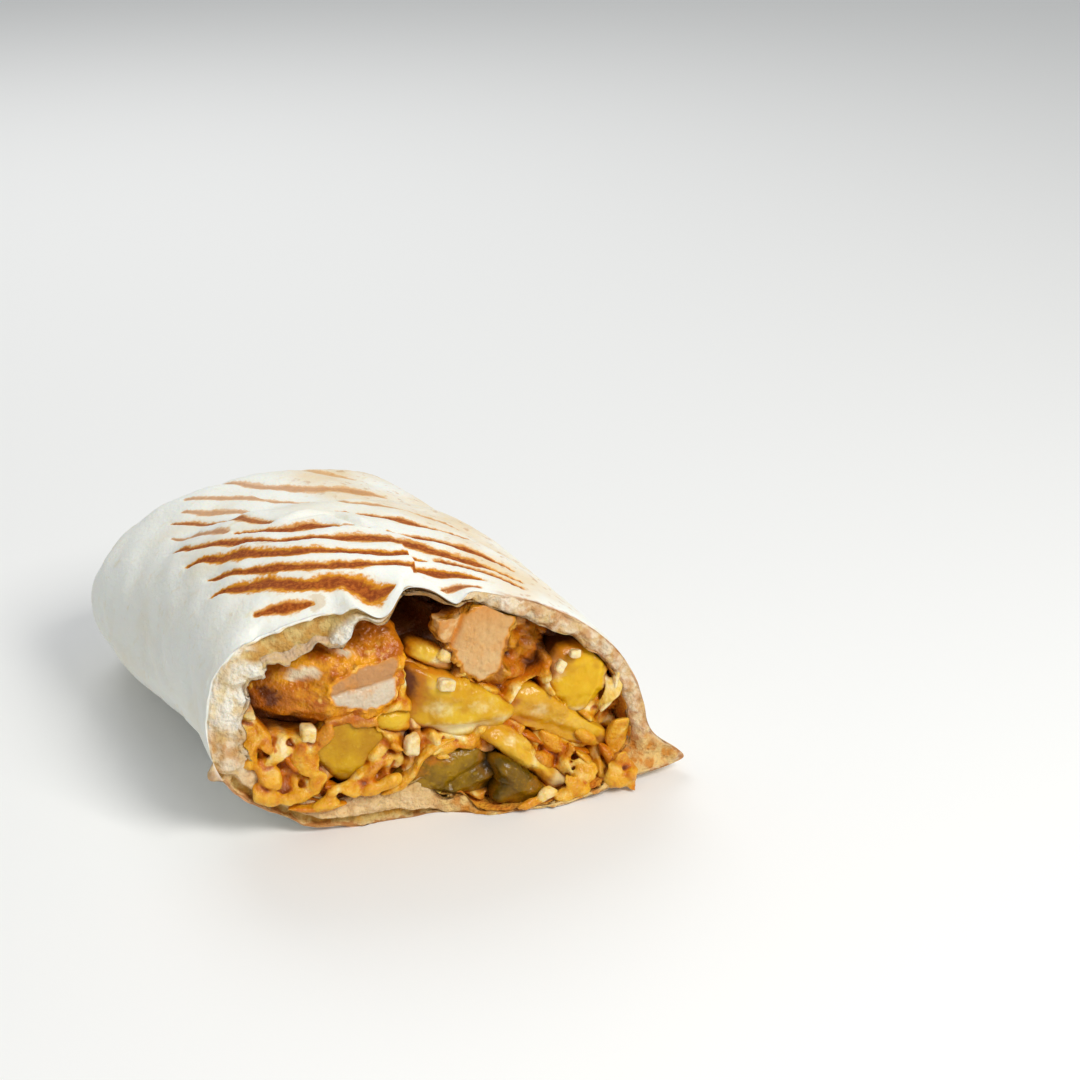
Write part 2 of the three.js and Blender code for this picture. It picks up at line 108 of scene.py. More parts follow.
def addNode(tree, kind, settings=None, feeds=None):
    # settings are properties, socket values or the stops of a colour ramp
    # feeds are other nodes' sockets, numbers or hex colours
    node = tree.nodes.new(kind)
    for key, value in (settings or {}).items():
        if key == "stops":
            elements = node.color_ramp.elements
            elements[0].position, elements[0].color = value[0][0], toLinear(value[0][1])
            elements[1].position, elements[1].color = value[-1][0], toLinear(value[-1][1])
            for where, colour in value[1:-1]:
                elements.new(where).color = toLinear(colour)
        elif isinstance(key, str) and hasattr(node, key) and key not in node.inputs:
            setattr(node, key, value)
        else:
            node.inputs[key].default_value = value
    for key, value in (feeds or {}).items():
        if isinstance(value, bpy.types.NodeSocket):
            tree.links.new(value, node.inputs[key])
        else:
            node.inputs[key].default_value = toLinear(value) if isinstance(value, str) else value
    return node


def fade(low, high, value):
    s = np.clip((value - low) / (high - low), 0, 1)
    return s * s * (3 - 2 * s)


def bump(value, centre, width):
    return np.exp(-(((value - centre) / width) ** 2))


def oval(x, z, middleX, middleZ, wide, high, power=2):
    # 1 in the middle of an oval spot, and softly down to 0 around it
    return np.exp(-((x - middleX) / wide) ** power - ((z - middleZ) / high) ** power)


def chance(i, j, k, seed):
    # an even random value from -1 to 1 for each whole-numbered place
    mixed = i * 73856093 ^ j * 19349663 ^ k * 83492791 ^ seed * 7368787
    mixed = ((mixed ^ (mixed >> 13)) * 1274126177) & 0x7FFFFFFF
    mixed = ((mixed ^ (mixed >> 15)) * 668265263) & 0x7FFFFFFF
    return (mixed % 20011) / 10005 - 1


def lattice(points, seed):
    # smooth random values from -1 to 1, one unit apart
    cell = np.floor(points).astype(np.int64)
    part = points - cell
    part = part * part * (3 - 2 * part)
    total = np.zeros(points.shape[:-1])
    for corner in range(8):
        step = np.array([corner & 1, (corner >> 1) & 1, (corner >> 2) & 1])
        key = cell + step
        value = chance(key[..., 0], key[..., 1], key[..., 2], seed)
        total += value * np.prod(np.where(step, part, 1 - part), axis=-1)
    return total


def rough(points, size, seed, octaves=3, stretch=(1, 1, 1)):
    # unevenness of about plus or minus 1, with lumps of the given size in mm
    scaled = points / (size * np.array(stretch, float))
    total, height = 0, 1.0
    for k in range(octaves):
        total = total + height * lattice(scaled * 2 ** k + 17.3 * k, seed + k)
        height *= 0.5
    return total / 1.4


def unevenness(x, y, z):
    # the same slow unevenness that the solids have
    return (0.5 * np.sin(0.31 * x + 0.23 * y + 1.3) + 0.3 * np.sin(0.53 * z - 0.37 * y + 0.29 * x)
            + 0.2 * np.sin(0.83 * x - 0.71 * z + 0.61 * y + 2.1))


def gridNormals(grid):
    # rows run along and columns go round, where the last column meets the first
    along = np.gradient(grid, axis=0)
    around = np.roll(grid, -1, axis=1) - np.roll(grid, 1, axis=1)
    normal = np.cross(along, around)
    return normal / (np.linalg.norm(normal, axis=-1, keepdims=True) + 1e-9)


def gridMesh(name, grid, marks=None, startPole=None, endPole=None):
    # a closed skin over a grid in mm, with a vertex attribute for each entry of marks
    rows, columns = grid.shape[:2]
    start = grid[0].mean(0) if startPole is None else startPole
    end = grid[-1].mean(0) if endPole is None else endPole
    points = np.vstack([grid.reshape(-1, 3), start, end])
    points[:, 2] = np.maximum(points[:, 2], 0)
    index = np.arange(rows * columns).reshape(rows, columns)
    following = np.roll(index, -1, axis=1)
    quads = np.stack([index[:-1], following[:-1], following[1:], index[1:]], -1).reshape(-1, 4)
    first, last = rows * columns, rows * columns + 1
    caps = [(first, b, a) for a, b in zip(index[0], following[0])]
    caps += [(last, a, b) for a, b in zip(index[-1], following[-1])]
    triangles = np.vstack([quads[:, [0, 1, 2]], quads[:, [0, 2, 3]], np.array(caps)])
    corners = points[triangles]
    volume = np.einsum("ij,ij->i", corners[:, 0], np.cross(corners[:, 1], corners[:, 2])).sum()
    faces = quads.tolist() + caps
    if volume < 0:
        faces = [tuple(reversed(face)) for face in faces]
    mesh = bpy.data.meshes.new(name)
    shift = np.array([cutMiddle[0], cutMiddle[1], 0])
    mesh.from_pydata(((points + shift) * mm).tolist(), [], faces)
    mesh.polygons.foreach_set("use_smooth", [True] * len(mesh.polygons))
    for key, values in (marks or {}).items():
        flat = np.concatenate([values.reshape(-1), [values[0].mean(), values[-1].mean()]])
        attribute = mesh.attributes.new(key, "FLOAT", "POINT")
        attribute.data.foreach_set("value", flat.astype(np.float32))
    mesh.update()
    thing = bpy.data.objects.new(name, mesh)
    bpy.context.scene.collection.objects.link(thing)
    return thing


def finishPiece(thing, nodes=(), material=None):
    if material:
        thing.data.materials.clear()
        thing.data.materials.append(material)
    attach(thing, "root")
    if nodes:
        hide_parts(*nodes)
    return thing


# the shape of the wrap, as in its solids

wrap = {
    "length": 100,  # mm, from the cut to where the end is folded in
    "cutSkew": math.tan(math.radians(-6)),
    "endBulge": 4,
    "flatDepth": 0.7,
    "sheet": 2.3,  # one layer of flatbread
    "lipReach": 5.5,
    "flapReach": 11,
    "flapShare": 0.236,
    "flapFade": 0.16,
}

stations = {
    "at": [0.0, 0.2, 0.46, 0.6, 0.78, 0.91, 1.0],
    "left": [38, 36.5, 37.5, 38.5, 37.2, 33.5, 25.5],
    "right": [45, 44, 41, 39, 36, 33, 25],
    "leftWaist": [21, 22, 19, 18, 16.5, 15, 12],
    "rightWaist": [13, 14, 16, 16, 15, 14, 12],
    "crown": [46, 48, 46, 41, 40.5, 33.5, 18],
    "crownAt": [-8, -7, -5, -2, 2, 3, 3],
    "topLeft": [2.4, 2.4, 2.3, 2.3, 2.3, 2.0, 2.0],
    "topRight": [1.95, 2.0, 2.2, 2.4, 2.6, 2.6, 2.4],
    "lowLeft": [1.9, 1.7, 1.8, 1.9, 2.0, 2.1, 2.1],
    "lowRight": [3.6, 3.5, 3, 3, 3, 2.6, 2.4],
}


def along(name, t):
    at, values = np.array(stations["at"]), np.array(stations[name], float)
    slope = np.diff(values) / np.diff(at)
    tangent = np.zeros(len(values))
    tangent[0], tangent[-1] = slope[0], slope[-1]
    for k in range(1, len(values) - 1):
        if slope[k - 1] * slope[k] > 0:
            tangent[k] = 2 * slope[k - 1] * slope[k] / (slope[k - 1] + slope[k])
    t = min(max(t, 0), 1)
    i = min(np.searchsorted(at, t, side="right") - 1, len(at) - 2)
    span = at[i + 1] - at[i]
    s = (t - at[i]) / span
    rise = values[i] * (1 - 3 * s ** 2 + 2 * s ** 3) + values[i + 1] * (3 * s ** 2 - 2 * s ** 3)
    return rise + span * (tangent[i] * (s - 2 * s ** 2 + s ** 3) + tangent[i + 1] * (s ** 3 - s ** 2))


def outline(t, count):
    # x, z and the outward normal of evenly spaced points, from the middle of the underside to the right
    angle = np.arange(1440) / 1440 * 2 * math.pi - math.pi / 2
    c, s = np.cos(angle), np.sin(angle)
    crown, crownAt = along("crown", t), along("crownAt", t)
    onRight, above = c >= 0, s >= 0
    reach = np.where(onRight, along("right", t) - crownAt, along("left", t) + crownAt)
    waist = np.where(onRight, along("rightWaist", t), along("leftWaist", t))
    corner = np.where(above, np.where(onRight, along("topRight", t), along("topLeft", t)),
                      np.where(onRight, along("lowRight", t), along("lowLeft", t)))
    x = crownAt + np.sign(c) * reach * np.abs(c) ** (2 / corner)
    lift = np.where(above, crown - waist, -(waist + wrap["flatDepth"]))
    z = waist + lift * np.abs(s) ** (2 / corner)
    x, z = np.append(x, x[0]), np.append(z, z[0])
    travelled = np.concatenate([[0], np.cumsum(np.hypot(np.diff(x), np.diff(z)))])
    share = np.arange(count) / count
    px = np.interp(share * travelled[-1], travelled, x)
    pz = np.interp(share * travelled[-1], travelled, z)
    step = travelled[-1] * 0.004
    wrapped = lambda offset: (share * travelled[-1] + offset) % travelled[-1]
    dx = np.interp(wrapped(step), travelled, x) - np.interp(wrapped(-step), travelled, x)
    dz = np.interp(wrapped(step), travelled, z) - np.interp(wrapped(-step), travelled, z)
    length = np.hypot(dx, dz)
    return px, pz, dz / length, -dx / length, share


def standAt(x, t):
    return x * wrap["cutSkew"] * (1 - np.clip(t, 0, 1)) + t * wrap["length"]


def behindCut(points):
    # how far back from the plane of the cut the points are, in mm
    return points[..., 1] - points[..., 0] * wrap["cutSkew"]


def underneath(share):
    # 1 along the underside of the outline and 0 elsewhere
    return np.maximum(1 - fade(0.1, 0.16, share), fade(0.8, 0.87, share))


def flatSpot(x, z):
    # a place on the face of the cut, for unevenness that doesn't change with depth
    return np.stack([x, z, x * 0], -1)


def breadThickness(share, t):
    # two sheets lie over one another at the left and below
    # at the cut the lip and the top are thin, and the right is thick
    doubled = np.minimum(fade(0.55, 0.63, share) + 1 - fade(0.02, 0.11, share), 1)
    nearCut = 1 - fade(0.0, 0.12, t)
    atLip = fade(0.035, 0.075, share) * (1 - fade(0.19, 0.23, share))
    atTop = fade(0.515, 0.535, share) * (1 - fade(0.605, 0.625, share))
    atRight = fade(0.25, 0.29, share) * (1 - fade(0.47, 0.5, share))
    change = 1 - (0.6 * atLip + 0.7 * atTop - 0.5 * atRight) * nearCut
    return wrap["sheet"] * (1 + 0.85 * doubled * (1 - 0.3 * fade(0.7, 1, t))) * change


def rimSetback(x, z, share):
    tongues = 4.2 * bump(x, -7.6, 4.4) + 2.4 * bump(x, 7, 2.6)
    notch = 1.6 * bump(x, 0, 3)
    overTop = fade(0.36, 0.42, share) * (1 - fade(0.62, 0.68, share))
    lip = wrap["lipReach"] * fade(0.05, 0.12, share) * (1 - fade(0.19, 0.235, share))
    return overTop * (notch - tongues) - lip


def endFolds(x, z):
    height = z - 9 - 0.15 * x
    crease = -3 * bump(height, 0, 2.2) * (1 - fade(15, 23, np.abs(x)))
    ear = 3.6 * oval(x, height, 9, 4.5, 9, 4.2)
    return crease + ear


# grill stripes: places x, y and half width in mm along each, from its left end, then how dark it is

stripes = [
    (0.9, [(-26.5, 8.8, 0.4), (-24, 7.8, 0.8), (-21.5, 6.8, 1.3), (-19, 5.9, 1.2), (-16.8, 5.2, 0.4)]),
    (1.0, [(-29.5, 23.5, 0.4), (-26.6, 19.6, 1.3), (-23, 16, 2.0), (-20, 12.6, 1.8), (-17, 9.6, 1.2),
           (-13.7, 8.6, 1.8), (-10.6, 7.2, 1.7), (-8.2, 5.8, 2.0), (-5.5, 4.2, 1.7), (-2.8, 3.0, 0.6)]),
    (0.95, [(-28.5, 30.2, 0.3), (-25.8, 26.1, 0.8), (-23.3, 22.4, 0.9), (-19.8, 19, 1.3),
            (-16.5, 15.8, 1.3), (-13.6, 13.8, 1.5), (-11, 12.6, 1.4), (-7.1, 11.1, 1.3), (-2.6, 10.2, 1.0),
            (1.8, 9.6, 1.1), (4.3, 8.6, 0.9)]),
    (1.0, [(-28.8, 41, 0.3), (-25.8, 35.9, 1.0), (-23.5, 32.2, 1.6), (-21, 28.2, 1.7), (-18.2, 24.4, 1.5),
           (-15, 21.4, 1.5), (-11.8, 19.6, 1.6), (-9.2, 18.2, 1.5), (-5.3, 16.5, 1.1), (-0.8, 14.8, 1.1),
           (4.8, 13.2, 0.8), (8, 12, 0.3)]),
    (0.9, [(-28, 54, 0.3), (-26.2, 47.6, 0.9), (-23.6, 41.8, 1.1), (-20.5, 37.2, 1.5), (-17.8, 33.4, 1.1),
           (-15.2, 30, 0.9), (-12.8, 28.2, 1.1), (-9.6, 26, 1.0), (-6.7, 24.8, 1.3), (-3, 23.8, 1.9),
           (0.8, 22, 2.2), (4.7, 20, 2.0), (9, 17.5, 1.8), (14, 14.5, 1.6), (20, 11, 1.2), (25, 7.5, 0.4)]),
    (0.55, [(-25.2, 62.5, 0.3), (-22.9, 56.6, 0.8), (-21.6, 49, 0.9), (-19.8, 44.4, 0.7)]),
    (0.85, [(-18.6, 42.2, 0.4), (-15.3, 37.6, 0.8), (-12.7, 35.2, 1.2), (-10.1, 33.4, 1.6),
            (-6.9, 32.6, 2.1), (-4.5, 30.6, 1.2), (-2.6, 29, 0.4)]),
    (0.5, [(-1.5, 28.6, 0.4), (0.3, 27.9, 0.5), (2.5, 27, 0.4)]),
    (0.8, [(6, 25.6, 0.5), (12, 22.4, 1.3), (19, 18.4, 1.2), (26, 13, 0.5)]),
    (0.7, [(-22.8, 70.4, 0.3), (-19.5, 65.2, 1.0), (-16.8, 59, 1.0), (-16, 49, 1.1), (-14.4, 43.6, 1.2),
           (-12.4, 39.6, 0.6)]),
    (0.5, [(-19.4, 72, 0.4), (-16.8, 68.2, 1.0), (-13.4, 64.8, 1.0), (-10.9, 61.6, 0.8), (-9, 56.5, 0.6),
           (-8, 54, 0.4)]),
    (0.75, [(1.4, 40.4, 0.4), (4.8, 38.2, 0.9), (7, 36, 1.0), (10.4, 33.6, 1.1), (16, 29.6, 1.0),
            (23, 25, 0.5)]),
    (0.5, [(-17.4, 77, 0.4), (-14.6, 73.6, 0.8), (-10.7, 70.2, 0.8), (-6.5, 66.4, 1.1), (-4.1, 64.8, 1.1),
           (-1.2, 62.8, 0.9), (2.3, 59.6, 0.8), (3, 52, 0.7), (5.8, 45.6, 0.9), (11.2, 43.6, 1.1),
           (18, 39, 1.0), (24, 34, 0.4)]),
    (0.5, [(-9, 82.5, 0.8), (-4.5, 77.5, 1.2), (-1.6, 72.6, 1.2), (3.1, 69.2, 1.2), (8, 67, 1.6),
           (13.5, 64.6, 1.8), (19, 61, 1.0)]),
    (0.4, [(-6, 90, 0.6), (2, 84, 1.4), (10, 79, 1.4), (18, 74, 0.8)]),
    (1.0, [(4.4, 9, 0.7), (8, 7.6, 1.4), (12, 5.6, 1.3), (15.6, 3.8, 0.6)]),
    (0.7, [(7.2, 2.9, 0.4), (10, 1.6, 0.9), (13, 0.2, 0.5)]),
    (0.8, [(10, 12.4, 0.5), (17, 8.6, 1.1), (24, 4, 0.6)]),
]


def alongPath(x, y, path):
    # distance from a path of x, y and value, and the value at its nearest place
    best, value = np.full(x.shape, 1e9), np.zeros(x.shape)
    for (x0, y0, v0), (x1, y1, v1) in zip(path[:-1], path[1:]):
        length2 = (x1 - x0) ** 2 + (y1 - y0) ** 2
        s = np.clip(((x - x0) * (x1 - x0) + (y - y0) * (y1 - y0)) / length2, 0, 1)
        away = np.hypot(x - x0 - s * (x1 - x0), y - y0 - s * (y1 - y0))
        nearer = away < best
        best = np.where(nearer, away, best)
        value = np.where(nearer, v0 + s * (v1 - v0), value)
    return best, value


def toastOf(points):
    # 1 in the middle of a stripe, 0 at its edge and less outside, and how dark the stripe is
    x, y = points[..., 0], points[..., 1]
    x = x + 0.5 * rough(points, 5, 5, 2)
    y = y + 0.5 * rough(points, 5, 8, 2)
    outside = -3.0  # well off every stripe
    toast, burnt = np.full(x.shape, outside), np.zeros(x.shape)
    for k, (burn, path) in enumerate(stripes):
        away, half = alongPath(x, y, path)
        half = half * (1 + 0.25 * lattice(points / 3.0, 11 + k))
        here = np.where(points[..., 2] > 24, 1 - (away / half), outside)
        burnt = np.where(here > toast, burn, burnt)
        toast = np.maximum(toast, np.maximum(here, outside))
    return toast, burnt


seamLine = {
    "y": [-6, 0, 6, 9, 13, 21, 37, 55, 75, 95],  # mm
    "x": [-2.5, -1.6, 0.8, 4.2, 5.0, 5.6, 4, -1, -9, -18],
}
crease = [(-9, 37.6, 0.3), (-6, 38.2, 0.8), (-3.9, 38.2, 1), (-0.8, 37, 1), (0.2, 32.4, 1),
          (1.5, 28.6, 0.8), (3.4, 27.6, 0.2)]


def seamStep(points):
    # the free edge of the sheet lies on top, and the bread right of it is lower
    x, y, z = points[..., 0], points[..., 1], points[..., 2]
    edge = np.interp(y, seamLine["y"], seamLine["x"])
    edge = edge + 0.6 * lattice(np.stack([y / 1.8, y * 0, y * 0], -1), 23)
    side = x - edge
    step = (fade(-0.2, 0.3, side) * (1 - fade(3, 16, side)) * fade(28, 34, z)
            * (1 - 0.7 * fade(13, 20, y)) * (1 - fade(70, 90, y)))
    away, strength = alongPath(x, y, crease)
    return step + 1.1 * strength * bump(away, 0, 0.7) - 0.5 * strength * bump(away, 2.0, 1.2)


bread = {
    "around": 540,
    "outsideSteps": 120,
    "endSteps": 20,
    "rimSteps": 22,
    "insideSteps": 18,
    "wrinkle": 0.4,  # mm
    "grain": 0.07,
    "stripeDepth": 0.5,
    "seamHeight": 1.1,
    "crumbHeight": 0.8,
    "puffHeight": 0.55,
    "tornWidth": 1.6,
    "bandDepth": 1.5,
    "lumpHeight": 3.4,
}


def breadRing(t):
    x, z, nx, nz, share = outline(t, bread["around"])
    flap = wrap["flapReach"] * bump(share, wrap["flapShare"], 0.022) * (1 - fade(0, wrap["flapFade"], t))
    buckle = 0.45 * unevenness(x, t * wrap["length"], z) * fade(0.02, 0.2, t)
    px = x + nx * buckle + flap
    pz = z + nz * buckle - flap * 0.16
    return np.stack([px, standAt(px, t), pz], -1)


def breadSkin(share):
    # the outside, from the middle of the folded end to the cut
    x, z = outline(1, bread["around"])[:2]
    rings = []
    for shrink in np.sin(np.linspace(0.02, 0.985, bread["endSteps"]) * math.pi / 2):
        px, pz = 2 + (x - 2) * shrink, 9 + (z - 9) * shrink
        bulge = wrap["endBulge"] * math.sqrt(1 - shrink ** 2.6)
        pleats = 0.5 * np.sin(share * 40 + 3 * pz / 9) * fade(0.3, 0.8, shrink) * (1 - fade(0.9, 1, shrink))
        y = wrap["length"] + bulge + (endFolds(px, pz) + pleats) * (1 - fade(0.7, 1, shrink))
        rings.append(np.stack([px, y, pz], -1))
    steps = (np.arange(bread["outsideSteps"]) / (bread["outsideSteps"] - 1)) ** 1.15
    rings += [breadRing(t) for t in steps[::-1]]
    rings.append(breadRing(0))
    return np.array(rings)


def breadRelief(skin, toast, burnt):
    # wrinkles, puffs and grain of the outside, and the dents that the grill has pressed
    onTop = fade(22, 34, skin[..., 2])
    nearCut = 1 - fade(0, 6, behindCut(skin))
    height = bread["wrinkle"] * rough(skin, 13, 31, 2, (1, 1.8, 1))
    height += 0.14 * rough(skin, 4.5, 37, 2) + bread["grain"] * rough(skin, 1.1, 41, 2)
    height += 0.28 * onTop * rough(skin, 6.5, 53, 1)
    height -= bread["stripeDepth"] * fade(-0.8, 0.5, toast) * burnt
    height -= bread["seamHeight"] * seamStep(skin)
    return height + 0.18 * nearCut * rough(skin, 2.4, 61, 2)


def floorLump(x, y):
    # the inner layer swells under the pickles and drops off steeply to the right
    across = fade(-16, 1, x) * (1 - fade(8, 11, x)) * (0.8 + 0.2 * np.sin(x * 0.9))
    return bread["lumpHeight"] * across * (1 - fade(5, 12, y))


def wetLayer(x, z, part, doubled):
    # the soaked layer between the sheets: a line outside the crumb, the whole edge at the upper left
    upperLeft = fade(-31, -28, x) * (1 - fade(-16, -14, x)) * fade(34, 37, z)
    width = 0.3 + 0.66 * upperLeft
    spot = flatSpot(x, z)
    patchy = (1 - fade(-31, -27, x)) * fade(-0.25, 0.25, rough(spot, 4, 93, 2))
    return doubled * fade(0.05, 0.12, part) * (1 - fade(width, width + 0.12, part)) * (1 - 0.85 * patchy)


def tornBack(x, z):
    # how much further back the outer sheet is torn than the inner one
    spot = flatSpot(x, z)
    upperLeft = fade(-33, -26, x) * (1 - fade(-14.6, -13.2, x)) * fade(30, 37, z)
    left = (1 - fade(-27, -22, x)) * fade(19, 25, z)
    right = fade(16, 22, x) * fade(12, 20, z)
    return (1.0 * upperLeft + 1.8 * left + 0.8 * right
            + (1.1 * left + 0.8 * upperLeft + 0.7 * right) * rough(spot, 4.4, 65, 2))


def raggedEdge(x, z, doubled):
    spot = flatSpot(x, z)
    return bread["tornWidth"] * rough(spot, 3.6, 79, 2) * (0.35 + 0.65 * doubled)


def breadRim(share, setback, droop, doubled):
    # the torn edge, from the outside to the inside
    x, z, nx, nz, _ = outline(0, bread["around"])
    flap = wrap["flapReach"] * bump(share, wrap["flapShare"], 0.022)
    low = underneath(share)
    overTop = fade(0.5, 0.53, share) * (1 - fade(0.6, 0.62, share))
    left = fade(0.58, 0.62, share) * (1 - fade(0.83, 0.87, share))
    spot = flatSpot(x, z)
    depth = breadThickness(share, 0) * (1 + 0.28 * doubled + 0.25 * left)
    shift = 0.1 * rough(spot, 4.0, 73, 3)
    rings, parts, wets, pits = [], [], [], []
    for part in np.linspace(0, 1, bread["rimSteps"] + 1)[1:] ** 1.15:
        reach = depth * part + raggedEdge(x, z, doubled) * fade(0.45, 1, part) * (1 - 0.6 * overTop)
        reach = reach - 2.2 * oval(x, z, -37.2, 16, 1.8, 1.6) * (1 - fade(0.2, 0.8, part))
        reach = reach + low * floorLump(x, 0) * fade(0.45, 0.9, part)
        px, pz = x - nx * reach + flap * (1 - part), z - nz * reach - flap * 0.16 * (1 - part)
        deep = flatSpot(px, pz)
        wet = wetLayer(px, pz, part + shift, doubled)
        torn = bread["crumbHeight"] * fade(0.02, 0.2, part) * rough(deep, 1.7, 83, 3)
        puffs = np.abs(rough(deep, 2.9, 87, 1)) + 0.5 * np.abs(rough(deep, 1.3, 89, 2))
        torn = torn - bread["puffHeight"] * fade(0.1, 0.4, part) * (1 - wet) * puffs * (1 - 0.6 * low)
        torn = torn * (1 - 0.75 * wet) + bread["bandDepth"] * wet
        y = (standAt(px, 0) + setback + torn + 1.2 * part ** 5 + 1.3 * part * overTop
             + tornBack(x, z) * (1 - part) ** 1.3)
        fall = np.where(droop > 0, droop, droop * (1 - part * 0.6))
        pz = np.maximum(pz - fall, 0.02 + 0.3 * part)
        y = y + 0.35 * (1 - part) ** 2 * rough(deep, 1.2, 77, 2)
        rings.append(np.stack([px, y, pz], -1))
        parts.append(np.full(share.shape, part) + shift * 0.8)
        wets.append(wet)
        # the creases between the puffs, for the painted tan shade there
        pits.append(1 - fade(0.05, 0.4, puffs))
    return np.array(rings), np.array(parts), np.array(wets), np.array(pits)


def breadInside(share, setback, droop, doubled):
    # the inner layer, from the cut back to the end of the filling
    low = underneath(share)
    mouthX, mouthZ = outline(0, bread["around"])[:2]
    torn = raggedEdge(mouthX, mouthZ, doubled)
    rings = []
    for t in np.linspace(0.02, 0.95 ** 0.5, bread["insideSteps"]) ** 2:
        x, z, nx, nz, _ = outline(t, bread["around"])
        depth = breadThickness(share, t) * (1 + 0.28 * doubled * (1 - fade(0, 0.06, t)))
        inset = np.maximum(depth + torn * (1 - fade(0, 0.05, t)),
                           3.0 * fade(0.2, 0.3, share) * fade(0, 0.03, t))
        away = t * wrap["length"]
        fall = np.where(droop > 0, droop * (1 - fade(0, 9, away)), 0.4 * droop * (1 - fade(0, 3, away)))
        px, pz = x - nx * inset, z - nz * inset
        y = standAt(px, t)
        spot = np.stack([px, y, pz], -1)
        lumps = (low * (floorLump(px, y) + 0.7 * rough(spot, 4.5, 91, 2) * (1 - fade(6, 14, y)))
                 + 0.3 * rough(spot, 2.0, 97, 2))
        y = y + setback * (1 - fade(0, 0.03, t))
        rings.append(np.stack([px - nx * lumps, y, np.maximum(pz - nz * lumps - fall, 0.6)], -1))
    return np.array(rings)


def makeBread(material):
    count = bread["around"]
    x, z, _, _, share = outline(0, count)
    skin = breadSkin(share)
    normal = gridNormals(skin)
    if normal[bread["endSteps"] + 60, count // 2, 2] < 0:
        normal = -normal
    toast, burnt = toastOf(skin)
    settled = 0.2 + 0.8 * fade(0, 3, behindCut(skin))
    skin = skin + normal * (breadRelief(skin, toast, burnt) * settled)[..., None]
    doubled = np.maximum(fade(0.57, 0.62, share), 1 - fade(0.03, 0.1, share))
    spot = flatSpot(x, z)
    setback = rimSetback(x, z, share) + 0.8 * rough(spot, 8, 71, 2) + 0.22 * rough(spot, 2.2, 75, 3)
    setback -= 1.6 * oval(x, z, -37.5, 15.5, 2.5, 2.6)
    overTop = fade(0.4, 0.44, share) * (1 - fade(0.6, 0.66, share))
    droop = (3.2 * bump(x, -7.5, 4.4) + 1.8 * bump(x, 7, 2.4)) * overTop
    droop += 2.6 * fade(-33, -26, x) * (1 - fade(-14, -11, x)) * fade(28, 36, z)
    lift = (np.clip(0.9 * rough(spot, 5, 67, 2) + 0.25, 0, 1.2)
            * np.maximum(1 - fade(0.16, 0.22, share), fade(0.82, 0.9, share)))
    droop = droop - lift
    toCut = behindCut(skin)
    skin[..., 1] += (setback + tornBack(x, z)) * (1 - fade(0, 5, toCut))
    skin[..., 2] -= droop * np.where(droop > 0, 1 - fade(0, 9, toCut), 1 - fade(0, 3, toCut))
    skin[..., 2] = np.maximum(skin[..., 2], 0)
    rim, rimPart, wet, pits = breadRim(share, setback, droop, doubled)
    inside = breadInside(share, setback, droop, doubled)
    grid = np.concatenate([skin, rim, inside])
    before, after = len(skin), len(skin) + len(rim)
    column = lambda rows, value: np.full((rows, count), value)
    allAlong = lambda values: np.tile(values, (len(grid), 1))
    fromCut = behindCut(grid) - setback
    right = fade(0.12, 0.2, share) * (1 - fade(0.46, 0.5, share))
    sauced = fade(0.04, 0.08, share) * (1 - fade(0.25, 0.29, share))
    saucedWall = fade(0.04, 0.08, share) * (1 - fade(0.33, 0.4, share))
    tanned = np.maximum(1.1 * oval(x, z, -35, 20.5, 6, 3.6), 0.8 * right)
    tanned = np.maximum(tanned, fade(0.48, 0.51, share) * (1 - fade(0.59, 0.605, share)))
    bottom = underneath(share)
    lip = bump(share, wrap["flapShare"], 0.035)
    marks = {
        "toast": np.concatenate([toast, column(after - before + len(inside), -2.0)]),
        "burn": np.concatenate([burnt, column(after - before + len(inside), 0.0)]),
        "crumb": np.concatenate([column(before, 0.0), rimPart, column(len(inside), 2.0)]),
        "wet": np.concatenate([column(before, 0.0), wet, column(len(inside), 0.0)]),
        "pits": np.concatenate([column(before, 0.0), pits, column(len(inside), 0.0)]),
        "tanned": allAlong(tanned),
        "sauced": np.concatenate([np.tile(sauced, (after, 1)), np.tile(saucedWall, (len(inside), 1))]),
        "fromCut": fromCut,
        "rightSide": allAlong(right),
        "underside": allAlong(bottom),
        "lip": allAlong(lip),
    }
    thing = gridMesh("flatbreadSheet", grid, marks)
    return finishPiece(thing, ["flatbread"], material)


# the sauced filling behind the chunks

heap = {
    "around": 480,
    "rings": 120,
    "clearance": 0.35,  # mm
    "pieceSize": 3.4,
    "pieceHeight": 2.4,
    "grain": 0.12,
    "fuseSize": 0.36,
    "keptShare": 0.62,
    "softening": 2,
}


def fillingSetback(x, z):
    # how far the filling's face lies behind the cut
    # it is deep in the hollow, in front on the lip, and just behind the chunks
    hollow = 17 * oval(x, z, 1.0, 39.5, 4.8, 6.5)
    aboveCrust = 10 * oval(x, z, -19, 38.5, 13, 8, 4)
    lowFront = 0.9 * (1 - fade(4, 13, z)) - 6.4 * (1 - fade(1, 9, z)) * fade(9, 14, x)
    edge = 1.5 * fade(24, 40, np.abs(x - 2))
    edge += 3.5 * fade(36, 39.5, x) * fade(5, 8, z) * (1 - fade(19, 23, z))
    edge += 6 * oval(x, z, 27.5, 32, 6, 4.4, 4)
    back = 1.9 + np.maximum(hollow, aboveCrust) + lowFront + edge + 0.8 * unevenness(2.6 * x, 4, 2.6 * z)
    for chunk in chunks.values():
        keys = chunk["rings"][:-1] if "rings" in chunk else [(0, chunk["points"])]
        for depth, points in keys:
            away, reach = acrossOutline(x, z, points)
            share = away / reach
            if chunk["node"] == "chicken_left" and depth == 8:
                back = np.maximum(
                    back, 9 * (1 - fade(1.2, 1.5, share)) * fade(23.5, 27, z) * (1 - fade(-7, -4, x)))
            behind = (chunk["front"] + depth + 3.6) * (1 - fade(0.8, 0.98, share))
            back = np.maximum(back, behind)
    return back


